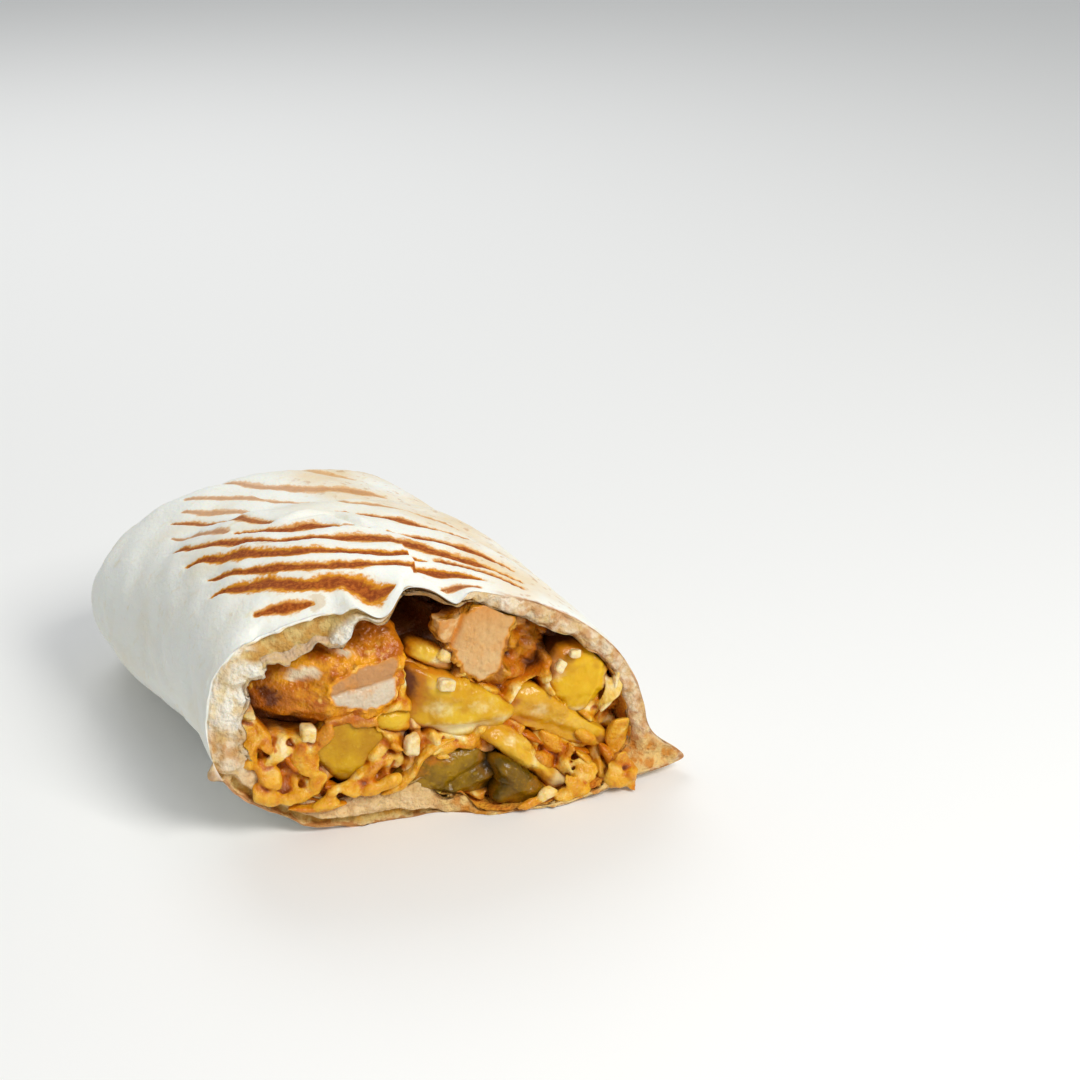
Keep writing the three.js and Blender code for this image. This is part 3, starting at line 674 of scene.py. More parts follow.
def chopped(x, z, size, seed):
    # a heap of chopped pieces from the front: how far each place stands out, and its piece's tone
    best, tone = np.full(x.shape, -1.0), np.zeros(x.shape)
    for layer in range(3):
        u, v = x / size + 0.37 * layer, z / size + 0.61 * layer
        for step in range(9):
            i = np.floor(u).astype(np.int64) + step % 3 - 1
            j = np.floor(v).astype(np.int64) + step // 3 - 1
            roll = [chance(i, j, i * 0 + layer, seed + n) for n in range(8)]
            du, dv = u - i - 0.5 - 0.45 * roll[0], v - j - 0.5 - 0.45 * roll[1]
            c, s = np.cos(3.14 * roll[2]), np.sin(3.14 * roll[2])
            along = (du * c + dv * s) / (0.6 + 0.25 * roll[3])
            across = (dv * c - du * s) / (0.27 + 0.09 * roll[4])
            away = (np.abs(along) ** 3 + np.abs(across + 0.3 * along ** 2) ** 3) ** (1 / 3)
            top = 0.4 * roll[5] + 0.3 * along * roll[6] + 0.55 * np.sqrt(np.clip(1 - away ** 3, 0, 1))
            top = np.where(away < 1, top, -1.0)
            tone = np.where(top > best, roll[7], tone)
            best = np.maximum(best, top)
    return best, tone


def innerRing(t, count, gap):
    x, z, nx, nz, share = outline(max(t, 0), count)
    underTop = 5.5 * fade(0.49, 0.52, share) * (1 - fade(0.6, 0.63, share))
    inset = np.maximum(breadThickness(share, max(t, 0)), underTop) + gap
    px, pz = x - nx * inset, np.maximum(z - nz * inset, 0.6 + gap)
    return np.stack([px, standAt(px, t), pz], -1)


def frontGrid(count, rings):
    mouth = innerRing(0.02, count, heap["clearance"])
    middle = mouth.mean(0)
    shrink = np.linspace(0.01, 1, rings)[:, None]
    x = middle[0] + (mouth[None, :, 0] - middle[0]) * shrink
    z = middle[2] + (mouth[None, :, 2] - middle[2]) * shrink
    spot = np.stack([x, x * 0, z], -1)
    fine = 0.6 * rough(spot, 4.2, 101, 2) + heap["grain"] * rough(spot, 0.9, 103, 2)
    bent = [x + 0.7 * rough(spot, 2.6, 107, 2), z + 0.7 * rough(spot, 2.6, 109, 2)]
    lumps, tone = chopped(*bent, heap["pieceSize"], 113)
    y = x * wrap["cutSkew"] + fillingSetback(x, z) + fine - heap["pieceHeight"] * lumps
    # the tone is paler where a piece stands out and more orange where it sinks: partly sauce lying low,
    # partly painted light and shade
    return np.stack([x, y, z], -1), 0.44 + 0.4 * tone - 0.2 * lumps


def makeHeap():
    front, tone = frontGrid(220, 50)
    front[..., 1] += 2.5
    sides = np.array([innerRing(t, 220, heap["clearance"]) for t in np.linspace(0.2, 0.94, 12)])
    tones = np.concatenate([tone, np.full(sides.shape[:2], 0.7)])
    return gridMesh("sauceBed", np.concatenate([front, sides]), {"tone": tones})


# chunks: a front outline in the plane of the cut, [x, z] in mm, then outlines further back

chunks = {
    "chickenLeft": {
        "node": "chicken_left", "slot": "chicken",
        "rings": [
            (0, [[-16.2, 28.4], [-15.1, 29.9], [-11, 32], [-5.8, 33.1], [-2.7, 33.2], [-2.6, 27.9],
                 [-3.4, 24.1], [-8.1, 22.4], [-13.3, 23.4], [-16, 26]]),
            (1.7, [[-17.8, 27], [-16.4, 31.2], [-11.6, 33.8], [-6, 34.8], [-1.6, 34.6], [-1.0, 29],
                   [-1.8, 24.8], [-5, 21.6], [-9.8, 20.5], [-15.4, 21.4], [-18, 24]]),
            (8, [[-30, 24.6], [-27.5, 30], [-22, 35], [-14, 38.6], [-5, 39.4], [-0.8, 34], [-1.2, 26],
                 [-6, 20.5], [-16, 19.2], [-26, 20]]),
            (24, [[-27, 26], [-22, 33.5], [-13, 38], [-5, 38], [-2, 32], [-2, 26], [-8, 21.5], [-20, 21.5]]),
        ],
        "front": 0, "depth": 12, "dome": 0.3, "edge": 0.35, "lumps": 0.9, "grain": 0.3, "ragged": 0.6,
        "folds": [(-17, 26.6, -2.4, 28.6, 0.7, -0.4), (-28, 27, -15, 35.5, 2.2, 0.7),
                  (-15, 35.5, -3, 36, 2.2, 0.8)],
        # the stain spots along the top, near z 37 to 38, are painted shade under the overhanging bread
        "stainsAndShade": [(-26, 26, 4.6, 3.2, 1.25), (-9, 37.4, 9, 2.0, 1.5), (-18, 22.0, 4, 2.0, 0.6),
                   (-3, 38, 3, 2.6, 1.1), (-24, 32, 2.4, 1.6, 0.9)],
    },
    "chickenRight": {
        "node": "chicken_right", "slot": "chicken",
        "rings": [
            (0, [[3.7, 38.2], [4.6, 40.6], [8, 39.8], [12.6, 41], [15.9, 40.4], [19.7, 37.6], [18.7, 34.9],
                 [17, 27.5], [14.1, 25.3], [12.4, 25], [9.6, 26.9], [8.6, 28.4], [6.2, 33.3], [4.4, 34.8]]),
            (5, [[5.6, 38], [6.2, 32.9], [9.2, 27.4], [15.7, 22.4], [23.2, 22.4], [26.6, 26.9], [25.2, 31.9],
                 [21.7, 37.9], [13.2, 40.4]]),
            (20, [[13, 36.4], [13, 29.4], [17.2, 23.4], [24, 23.9], [27.5, 28.4], [25, 34.4], [18.2, 37.4]]),
        ],
        "front": 0, "depth": 12, "dome": 0.3, "edge": 0.35, "lumps": 0.9, "grain": 0.45, "ragged": 0.8,
        "folds": [(6.8, 33, 9.4, 39.6, 0.6, -0.7), (5, 36, 5.6, 40, 1.2, 0.6),
                  (19.5, 37, 22.5, 29, 0.9, -0.8), (21.5, 36, 25, 28, 1.0, 0.8),
                  (18, 30, 24, 24, 0.9, -0.7), (17, 27, 22, 23, 0.9, 0.8)],
        # the stain spots that sit on the pits below are painted shade inside them
        "stainsAndShade": [(20.6, 33.2, 1.6, 2.0, 0.9), (18.9, 28.6, 1.6, 1.6, 1.0), (19.6, 25.4, 1.4, 1.2, 0.9),
                   (23.4, 32.6, 2.4, 3.0, 0.45), (17.4, 24.2, 1.4, 1.2, 0.6), (22.4, 27.6, 2.4, 2.0, 0.4)],
        "pits": [(20.6, 33.2, 1.0, 2.6), (18.9, 28.6, 1.2, 3.0), (19.6, 25.4, 0.9, 2.2),
                 (22.4, 30.6, 0.9, 2.0), (22.6, 26.4, 1.1, 2.4), (17.4, 24.2, 0.8, 1.8)],
    },
    "potato1": {
        "node": "potato_1", "slot": "potato",
        "points": [[-2.0, 28.4], [-0.3, 30.1], [3.5, 28.6], [7.4, 27.3], [12.4, 24.7], [17.3, 21],
                   [19.8, 17.6], [17.2, 15.2], [13, 15.2], [9.5, 13.6], [3.3, 15.8], [-0.6, 18],
                   [-2.1, 22.4]],
        # pale spots: paler flesh, partly painted highlights on the folds and along the lower edge
        "palesAndHighlights": [(7, 16.6, 9, 1.8, 0.9), (4.5, 21.4, 4, 2.4, 0.55), (12.5, 20.8, 4, 1.8, 0.5),
                  (16.4, 17.4, 3, 1.6, 0.6), (3, 26.4, 3.4, 1.4, 0.4)],
        "front": 0.4, "depth": 16, "dome": 1.2, "edge": 1.4, "lumps": 0.32, "grain": 0.1, "ragged": 0.4,
        # the two stain spots at the left end and the one at the upper left are painted shade in the dark
        # between the chicken and this potato
        "stainsAndShade": [(-2.6, 26.5, 4.2, 6.6, 1.5), (-2.4, 20, 2.6, 4.0, 0.8), (1.5, 29.4, 3.2, 1.6, 0.55),
                   (17.6, 20, 1.8, 1.6, 0.3)],
        "folds": [(1, 18.6, 18, 18.2, 1.5, 0.9), (2, 16.9, 15, 16.6, 1.0, -0.6), (-2, 25, 1, 19, 3, -1.6),
                  (4, 24.5, 13, 21, 3, 0.5)],
    },
    "potato2": {
        "node": "potato_2", "slot": "potato",
        "points": [[26, 24.2], [27, 27.4], [30.6, 29.5], [35.8, 28.3], [38.2, 24.9], [37.7, 19.5], [35.4, 16],
                   [32.4, 14.4], [29, 16.8], [26.6, 20.6]],
        "palesAndHighlights": [(27.6, 25, 1.8, 3, 0.8), (32, 15.6, 2.6, 1.6, 0.7), (37.4, 21, 0.9, 4, 0.5)],
        "front": 1.4, "depth": 15, "dome": 0.9, "edge": 1.4, "lumps": 0.25, "grain": 0.07, "ragged": 0.5,
        "stainsAndShade": [(25.6, 22, 1.8, 4.4, 0.5), (27, 29, 2.4, 1.6, 0.35), (38.2, 20, 1.4, 4, 0.6)],
        "folds": [(29.5, 26.5, 35.5, 25.6, 1.8, 0.5), (36.4, 24.5, 33.6, 16, 0.8, 0.4)],
    },
    "potato3": {
        "node": "potato_3", "slot": "potato",
        "points": [[17.4, 19.8], [20.8, 22.6], [24.9, 21.6], [28.3, 18.6], [33, 14.2], [38.6, 9.8], [39, 7.4],
                   [36.2, 7.2], [30.7, 9], [24.9, 11.9], [20.2, 14.5], [17.6, 17]],
        # these pale spots are painted wet highlights
        "palesAndHighlights": [(24.2, 17.2, 2.6, 2, 0.55), (28, 14.4, 2.4, 1.6, 0.4), (36.4, 8.8, 3, 1.1, 0.5)],
        "front": 1, "depth": 14, "dome": 0.5, "edge": 0.8, "lumps": 0.4, "grain": 0.14, "ragged": 0.75,
        "stainsAndShade": [(18, 20.5, 3, 2.6, 0.75), (21, 15.4, 3.4, 1.4, 0.55), (33, 9, 5, 1.2, 0.5)],
        "folds": [(19, 16.6, 36, 8.6, 1.0, -0.6), (21, 20.4, 28, 16.8, 1.4, 0.5)],
    },
    "potato4": {
        "node": "potato_4", "slot": "potato",
        "points": [[12, 14.6], [15, 15.8], [18.4, 14.8], [21.6, 11.4], [25, 7.4], [29.4, 2.6], [30.4, 0.2],
                   [27.4, 0.2], [24.2, 2.4], [21.2, 5.4], [17.4, 8.4], [14.6, 11.4]],
        "palesAndHighlights": [(17.6, 13, 2.2, 1.4, 0.55), (22, 8.2, 2.2, 1.8, 0.5), (26.8, 3.2, 2.4, 2.2, 0.9)],
        "front": -0.9, "depth": 11, "dome": 0.9, "edge": 1.1, "lumps": 0.6, "grain": 0.2, "ragged": 0.7,
        "stainsAndShade": [(13, 13.4, 2.2, 2.2, 0.35), (21.4, 5.6, 2, 1.4, 0.35)],
        "folds": [(15, 13.6, 27, 2.6, 1.2, 0.6), (19, 12.6, 26, 5.6, 0.6, -0.5)],
    },
    "potato5": {
        "node": "potato_5", "slot": "potato",
        "points": [[-7.6, 20.4], [-5, 21.8], [-0.3, 21.2], [0.1, 18.2], [-1.2, 16.6], [-4.6, 17.2],
                   [-7.1, 18.8]],
        "front": 1.5, "depth": 9, "dome": 1.0, "edge": 1.0, "lumps": 0.3, "grain": 0.12,
        "ragged": 0.2, "folds": [],
    },
    "potato6": {
        "node": "potato_6", "slot": "potato",
        "points": [[0, 32.4], [2, 33.6], [5, 33], [8, 30], [8.6, 27], [5.6, 27.4], [0.8, 30.6]],
        "palesAndHighlights": [(5.8, 30, 2.6, 1.8, 0.9)],
        "front": 2.4, "depth": 9, "dome": 1.2, "edge": 1.2, "lumps": 0.3, "grain": 0.12,
        "ragged": 0.2, "folds": [],
    },
    "pickle1": {
        "node": "pickle_1", "slot": "pickle",
        "points": [[-16.2, 21.2], [-13, 21.4], [-9.8, 20.5], [-6.4, 18.4], [-5.4, 16.6], [-7.6, 14],
                   [-10, 11.2], [-13.2, 9.0], [-15.4, 10.6], [-17.4, 13.2], [-18.8, 16.4], [-17.6, 19]],
        "front": 0.8, "depth": 8, "dome": 0.3, "edge": 0.6, "lumps": 0.3, "grain": 0.06, "ragged": 0.4,
        "stainsAndShade": [(-17.6, 18.6, 1.6, 3, 0.4), (-15, 21, 4, 0.8, 0.5), (-8, 13, 2, 1.6, 0.4),
                   (-16.4, 11.6, 1.6, 1.2, 0.5)],
        "folds": [(-17, 13, -8, 12, 1.0, 0.35)],
    },
    "pickle2": {
        "node": "pickle_2", "slot": "pickle",
        "points": [[-3.7, 7.2], [-0.3, 10.6], [3.7, 12.8], [10.5, 12.4], [14.6, 10], [16.4, 6.4], [15.6, 3],
                   [11.5, 2.2], [6.4, 3], [-0.4, 5]],
        "front": 0.9, "depth": 10, "dome": 1.0, "edge": 1.0, "lumps": 0.5, "grain": 0.08, "ragged": 0.5,
        "stainsAndShade": [(4, 11, 4, 1.8, 0.5), (0, 8.6, 2.6, 2.4, 0.4), (13.6, 9.6, 1.4, 1.8, 1.0)],
        "folds": [(7, 3.6, 14.8, 6.4, 1.0, 0.9), (7, 5.4, 13.6, 8.2, 0.8, -0.8)],
    },
    "pickle3": {
        "node": "pickle_3", "slot": "pickle",
        "points": [[14.2, 9.6], [17, 9.4], [20.4, 6.4], [23.6, 2.8], [23.8, 0.4], [18.5, 0.2], [14.4, 1.6],
                   [15.2, 5.4]],
        "front": -3.4, "depth": 11, "dome": 0.6, "edge": 1.0, "lumps": 0.6, "grain": 0.1, "ragged": 0.6,
        "stainsAndShade": [(21, 4.6, 2.6, 2.4, 0.35)],
        "folds": [(15, 7.6, 22, 1.6, 1.0, 0.6)],
    },
}
chunkDetail = {"around": 200, "faceRings": 44, "sideRings": 24}


def polar(points, count):
    # a smooth closed outline through the points, as distances from its middle at even angles
    p = np.array(points, float)
    middle = (p.min(0) + p.max(0)) / 2
    dense = []
    for k in range(len(p)):
        a, b, c, d = p[k - 1], p[k], p[(k + 1) % len(p)], p[(k + 2) % len(p)]
        for s in np.arange(24) / 24:
            bend, rise = 0.6 * (c - a), 0.6 * (d - b)
            dense.append(b * (1 - 3 * s ** 2 + 2 * s ** 3) + c * (3 * s ** 2 - 2 * s ** 3)
                         + bend * (s - 2 * s ** 2 + s ** 3) + rise * (s ** 3 - s ** 2))
    offset = np.array(dense) - middle
    angles = np.unwrap(np.arctan2(offset[:, 1], offset[:, 0]))
    reach = np.hypot(offset[:, 0], offset[:, 1])
    if angles[-1] < angles[0]:
        angles, reach = angles[::-1], reach[::-1]
    order = np.argsort(angles % (2 * math.pi))
    wanted = np.arange(count) / count * 2 * math.pi
    return middle, np.interp(wanted, (angles % (2 * math.pi))[order], reach[order], period=2 * math.pi)


def acrossOutline(x, z, points):
    # how far each place is from the middle of a closed outline, and how far the outline is there
    middle, reach = polar(points, 180)
    dx, dz = x - middle[0], z - middle[1]
    turn = ((np.arctan2(dz, dx) % (2 * math.pi)) / (2 * math.pi) * 180).astype(int) % 180
    return np.hypot(dx, dz), reach[turn]


def keepInside(points, gap):
    # pulls points that would cross the bread back to its inside
    count = 360
    moved = points.copy()
    tees = np.linspace(0, 0.9, 19)
    table, centres = [], []
    for t in tees:
        ring = innerRing(t, count, gap)
        centre = (ring.min(0) + ring.max(0))[[0, 2]] / 2
        offset = ring[:, [0, 2]] - centre
        angle = np.arctan2(offset[:, 1], offset[:, 0]) % (2 * math.pi)
        order = np.argsort(angle)
        wanted = np.arange(count) / count * 2 * math.pi
        table.append(np.interp(wanted, angle[order], np.hypot(*offset.T)[order], period=2 * math.pi))
        centres.append(centre)
    t = np.clip(points[..., 1] / wrap["length"], 0, 0.9)
    place = t / 0.05
    row = np.minimum(place.astype(int), len(tees) - 2)
    part = (place - row)[..., None]
    centres, table = np.array(centres), np.array(table)
    centre = centres[row] * (1 - part) + centres[row + 1] * part
    offset = points[..., [0, 2]] - centre
    angle = (np.arctan2(offset[..., 1], offset[..., 0]) % (2 * math.pi)) / (2 * math.pi) * count
    column = angle.astype(int) % count
    limit = table[row, column] * (1 - part[..., 0]) + table[row + 1, column] * part[..., 0]
    length = np.hypot(offset[..., 0], offset[..., 1])
    scale = np.where(length > limit, limit / np.maximum(length, 1e-6), 1)[..., None]
    moved[..., [0, 2]] = centre + offset * scale
    return moved


def chunkGrid(chunk, seed):
    count = chunkDetail["around"]
    keys = chunk.get("rings") or [(0, chunk["points"]), (chunk["depth"] * 0.75, chunk["points"])]
    layers = [(back, *polar(points, count)) for back, points in keys]
    angle = np.arange(count) / count * 2 * math.pi
    direction = np.stack([np.cos(angle), np.sin(angle)], -1)
    allRound = np.stack([direction[:, 0] * 9, direction[:, 1] * 9, angle * 0 + seed], -1)
    torn = chunk["ragged"] * rough(allRound, 2.0, seed, 3)

    def ring(middle, reach, shrink, back, jag=1.0):
        flat = middle + direction * ((reach + torn * jag) * shrink)[:, None]
        y = flat[:, 0] * wrap["cutSkew"] + chunk["front"] + back
        return np.stack([flat[:, 0], y, flat[:, 1]], -1)

    grid, cut = [], []
    _, middle, reach = layers[0]
    softness = chunk["edge"] / max(np.mean(reach), 1)
    for q in np.linspace(0.02, 1, chunkDetail["faceRings"]):
        turn = np.clip((q - (1 - 1.6 * softness)) / (1.6 * softness), 0, 1)
        back = -chunk["dome"] * (1 - q ** 2) + chunk["edge"] * (1 - math.sqrt(1 - 0.98 * turn ** 2))
        grid.append(ring(middle, reach, q * (1 - 0.03 * turn), back, q))
        cut.append(1 - fade(-1.6, 0.1, (q - 1) * reach))
    steps = chunkDetail["sideRings"]
    last = layers[-1][0]
    for k in range(1, steps + 1):
        back = chunk["edge"] + (last - chunk["edge"]) * (k / steps) ** 1.3
        i = max(j for j in range(len(layers) - 1) if layers[j][0] <= back)
        s = (back - layers[i][0]) / (layers[i + 1][0] - layers[i][0])
        mixed = layers[i][2] * (1 - s) + layers[i + 1][2] * s
        centre = layers[i][1] * (1 - s) + layers[i + 1][1] * s
        bulge = 1 + 0.03 * math.sin(math.pi * k / steps)
        grid.append(ring(centre, mixed, bulge, back, 1 - k / steps))
        cut.append(np.zeros(count))
    _, middle, reach = layers[-1]
    for s in (0.3, 0.6, 0.85, 0.97):
        grid.append(ring(middle, reach, math.sqrt(1 - s ** 2), last + chunk["depth"] * 0.25 * s, 0))
        cut.append(np.zeros(count))
    return np.array(grid), np.array(cut)


def foldHeight(grid, folds):
    # ridges and grooves along straight lines across the face: from x, z to x, z, width, height
    height = np.zeros(grid.shape[:2])
    x, z = grid[..., 0] + 0.5 * rough(grid, 3, 501, 2), grid[..., 2] + 0.5 * rough(grid, 3, 503, 2)
    for x0, z0, x1, z1, width, rise in folds:
        away, _ = alongPath(x, z, [(x0, z0, 1), (x1, z1, 1)])
        height += rise * bump(away, 0, width)
    return height


def spots(grid, places):
    # soft spots at x, z with a width, a height and a strength
    total = np.zeros(grid.shape[:2])
    for x, z, wide, high, strength in places:
        total = np.maximum(total, strength * oval(grid[..., 0], grid[..., 2], x, z, wide, high))
    return total


def makeChunk(name, chunk, material, seed):
    grid, cut = chunkGrid(chunk, seed)
    normal = gridNormals(grid)
    middle = grid.mean((0, 1))
    if np.einsum("ijk,ijk->ij", normal, grid - middle).mean() < 0:
        normal = -normal
    lumps = chunk["lumps"] * rough(grid, 4.2, seed, 3)
    fine = chunk["grain"] * rough(grid, 1.2, seed + 7, 3)
    if chunk["slot"] == "chicken":
        fibre = chunk["grain"] * 0.5 * rough(grid, 0.8, seed + 9, 3, (1, 1.6, 1.6))
        crusty = lumps * 1.1 + fine * 1.5 - 0.5 * chunk["lumps"] * np.abs(rough(grid, 2.2, seed + 11, 3))
        height = (1 - cut) * crusty + cut * (lumps * 0.3 + fibre)
    elif chunk["slot"] == "potato":
        flakes = rough(grid, 4.1, seed + 3, 2) * 1.6
        terrace = np.floor(flakes) + fade(0.6, 1, flakes - np.floor(flakes))
        height = 0.7 * lumps + fine + chunk["lumps"] * 0.5 * terrace
    else:
        height = lumps + fine
    settle = np.ones(len(grid))
    settle[:3] = [0.2, 0.5, 0.8]
    push = np.zeros(grid.shape[:2])
    for x, z, radius, depth in chunk.get("pits", []):
        push += depth * np.exp(-((grid[..., 0] - x) ** 2 + (grid[..., 2] - z) ** 2) / radius ** 2)
    grid = grid + normal * (height * settle[:, None])[..., None]
    nearFace = np.exp(-np.maximum(behindCut(grid) - chunk["front"], 0) / 6)
    grid[..., 1] += push - foldHeight(grid, chunk["folds"]) * nearFace
    grid = keepInside(grid, 0.2)
    stain, pale = spots(grid, chunk.get("stainsAndShade", [])), spots(grid, chunk.get("palesAndHighlights", []))
    marks = {"cut": cut, "stain": stain, "pale": pale, **chunk.get("paint", lambda g, c: {})(grid, cut)}
    thing = gridMesh(name, grid, marks)
    return finishPiece(thing, [chunk["node"]], material)


def paintLeft(grid, cut):
    # the lower half of the cut flesh is paler, the left end is darker, the top gets painted shade under the
    # bread's overhang, one flake is pale, and a small pale spot is a painted highlight
    x, z = grid[..., 0], grid[..., 2]
    wave = 0.4 * rough(grid, 2, 211, 2)
    pale = 1 - fade(-0.4, 0.4, z - (26.8 + 0.14 * (x + 16)) + wave)
    torn = rough(grid, 2.4, 213, 3)
    leftEnd = (1 - fade(-26, -20.5, x + torn)) * fade(22.4, 24, z + torn * 0.5)
    # painted shade along the top, under the overhanging bread
    topBack = fade(35.4, 37.6, z + 0.8 * torn) * (1 - 0.4 * fade(-9, -4, x))
    flake = np.exp(-((x + 19.2) / 2.8) ** 2 - ((z - 30.4 - 0.25 * (x + 19.6)) / 1.5) ** 2)
    # a painted highlight, carried by the flake mark
    flake += 0.8 * oval(x, z, -12.2, 34.2, 2.2, 0.9)
    return {"pale": pale, "dark": 0.6 * np.maximum(leftEnd, topBack),
            "flake": fade(0.42, 0.56, flake + 0.3 * torn)}


def paintRight(grid, cut):
    # left of a line the face is browned, and the torn side on the right gets painted shade between its fibres
    x, z = grid[..., 0], grid[..., 2]
    torn = rough(grid, 1.8, 223, 3)
    line = x - (6.9 + (z - 33) * 0.42)
    strip = 1 - fade(-0.5, 0.5, line + 0.4 * torn)
    seam = np.maximum(bump(line, 0, 0.55), 0.45 * oval(x, z, 14.5, 40, 4.4, 2.2))
    # the dark mark is painted shade between the fibres of the torn side
    return {"pale": 1 - fade(24, 41, z + 2 * torn), "dark": fade(0.1, 0.6, -torn) * (1 - cut) * 0.8,
            "flake": strip * fade(-0.3, 0.2, torn), "seam": np.maximum(seam, 0.3 * strip)}


chunks["chickenLeft"]["paint"] = paintLeft
chunks["chickenRight"]["paint"] = paintRight


# materials

def startMaterial(name, *marks):
    # with the place on the piece, and the values of the piece's own attributes that the marks name
    material = bpy.data.materials.new(name)
    material.use_nodes = True
    tree = material.node_tree
    tree.nodes.clear()
    shader = addNode(tree, "ShaderNodeBsdfPrincipled")
    addNode(tree, "ShaderNodeOutputMaterial", {}, {"Surface": shader.outputs[0]})
    position = addNode(tree, "ShaderNodeTexCoord").outputs["Object"]
    values = [addNode(tree, "ShaderNodeAttribute", {"attribute_name": mark}).outputs["Fac"] for mark in marks]
    return material, tree, shader, position, values


def mottle(tree, position, size, detail, seed, stretch=(1, 1, 1)):
    # soft patches from 0 to 1, with lumps of the given size in mm
    shaped = addNode(tree, "ShaderNodeVectorMath", {"operation": "MULTIPLY_ADD"},
                     {0: position, 1: stretch, 2: (seed, seed * 0.7, seed * 0.3)})
    return addNode(tree, "ShaderNodeTexNoise", {"Scale": 1 / (size * mm), "Detail": detail},
                   {"Vector": shaped.outputs[0]}).outputs["Fac"]


def weigh(tree, start, *terms):
    # adds to the start each value times its factor
    for value, factor in terms:
        start = addNode(tree, "ShaderNodeMath", {"operation": "MULTIPLY_ADD"},
                        {0: value, 1: factor, 2: start}).outputs[0]
    return start


def strength(tree, *factors):
    # multiplies numbers, values, and values that rise softly from 0 to 1 between two ends
    whole = 1.0
    for factor in factors:
        if isinstance(factor, tuple):
            value, low, high = factor
            factor = addNode(tree, "ShaderNodeMapRange", {"interpolation_type": "SMOOTHSTEP"},
                             {"Value": value, "From Min": low, "From Max": high}).outputs["Result"]
        if whole == 1.0:
            whole = factor
        else:
            whole = addNode(tree, "ShaderNodeMath", {"operation": "MULTIPLY"},
                            {0: whole, 1: factor}).outputs[0]
    return whole


def layered(tree, colour, *layers):
    # lays colours over one another, each with the factors of how strongly it covers
    for over, *factors in layers:
        mixed = addNode(tree, "ShaderNodeMix", {"data_type": "RGBA"},
                        {0: strength(tree, *factors), 6: colour, 7: over})
        colour = mixed.outputs[2]
    return colour


def setShader(shader, roughness, scatter=0.0, radius=(1.0, 0.5, 0.25), depth=1.0, coat=0.0, gloss=0.5):
    # depth is how far light goes into the food, in mm, and coat is its wet film
    shader.inputs["Roughness"].default_value = roughness
    shader.inputs["Specular IOR Level"].default_value = gloss
    shader.inputs["Subsurface Weight"].default_value = scatter
    shader.inputs["Subsurface Radius"].default_value = radius
    shader.inputs["Subsurface Scale"].default_value = depth * mm
    shader.inputs["Coat Weight"].default_value = coat
    shader.inputs["Coat Roughness"].default_value = 0.16


def finishSurface(tree, shader, colour, relief, depth):
    # the colour, and a relief of the given depth in mm under the shine as well
    tree.links.new(colour, shader.inputs["Base Color"])
    raised = addNode(tree, "ShaderNodeBump", {"Strength": 1.0, "Distance": depth * mm}, {"Height": relief})
    for name in ("Normal", "Coat Normal"):
        tree.links.new(raised.outputs["Normal"], shader.inputs[name])


def steeped(tree, colour, thin="#c86c04", deep="#3c1002"):
    # the hollows between the pieces: sauce orange where they are shallow, then nearly black painted shade
    # where they lie deep
    hollow = addNode(tree, "ShaderNodeAttribute", {"attribute_name": "hollow"}).outputs["Fac"]
    return layered(tree, colour, (thin, (hollow, 0.04, 0.45), 0.7), (deep, (hollow, 0.38, 1.0), 0.92))


def soiled(tree, colour, stain, fine):
    # the stain spots: amber where sauce lies on a chunk and dark brown where it is thick; the same spots also
    # paint shade on chunk ends that lie back in the dark and in dents
    sauce = weigh(tree, -0.3, (stain, 1), (fine, 0.6))
    return layered(tree, colour, ("#b96a04", (sauce, 0.15, 0.6), 0.85), ("#521d03", (sauce, 0.6, 1.1), 0.9))


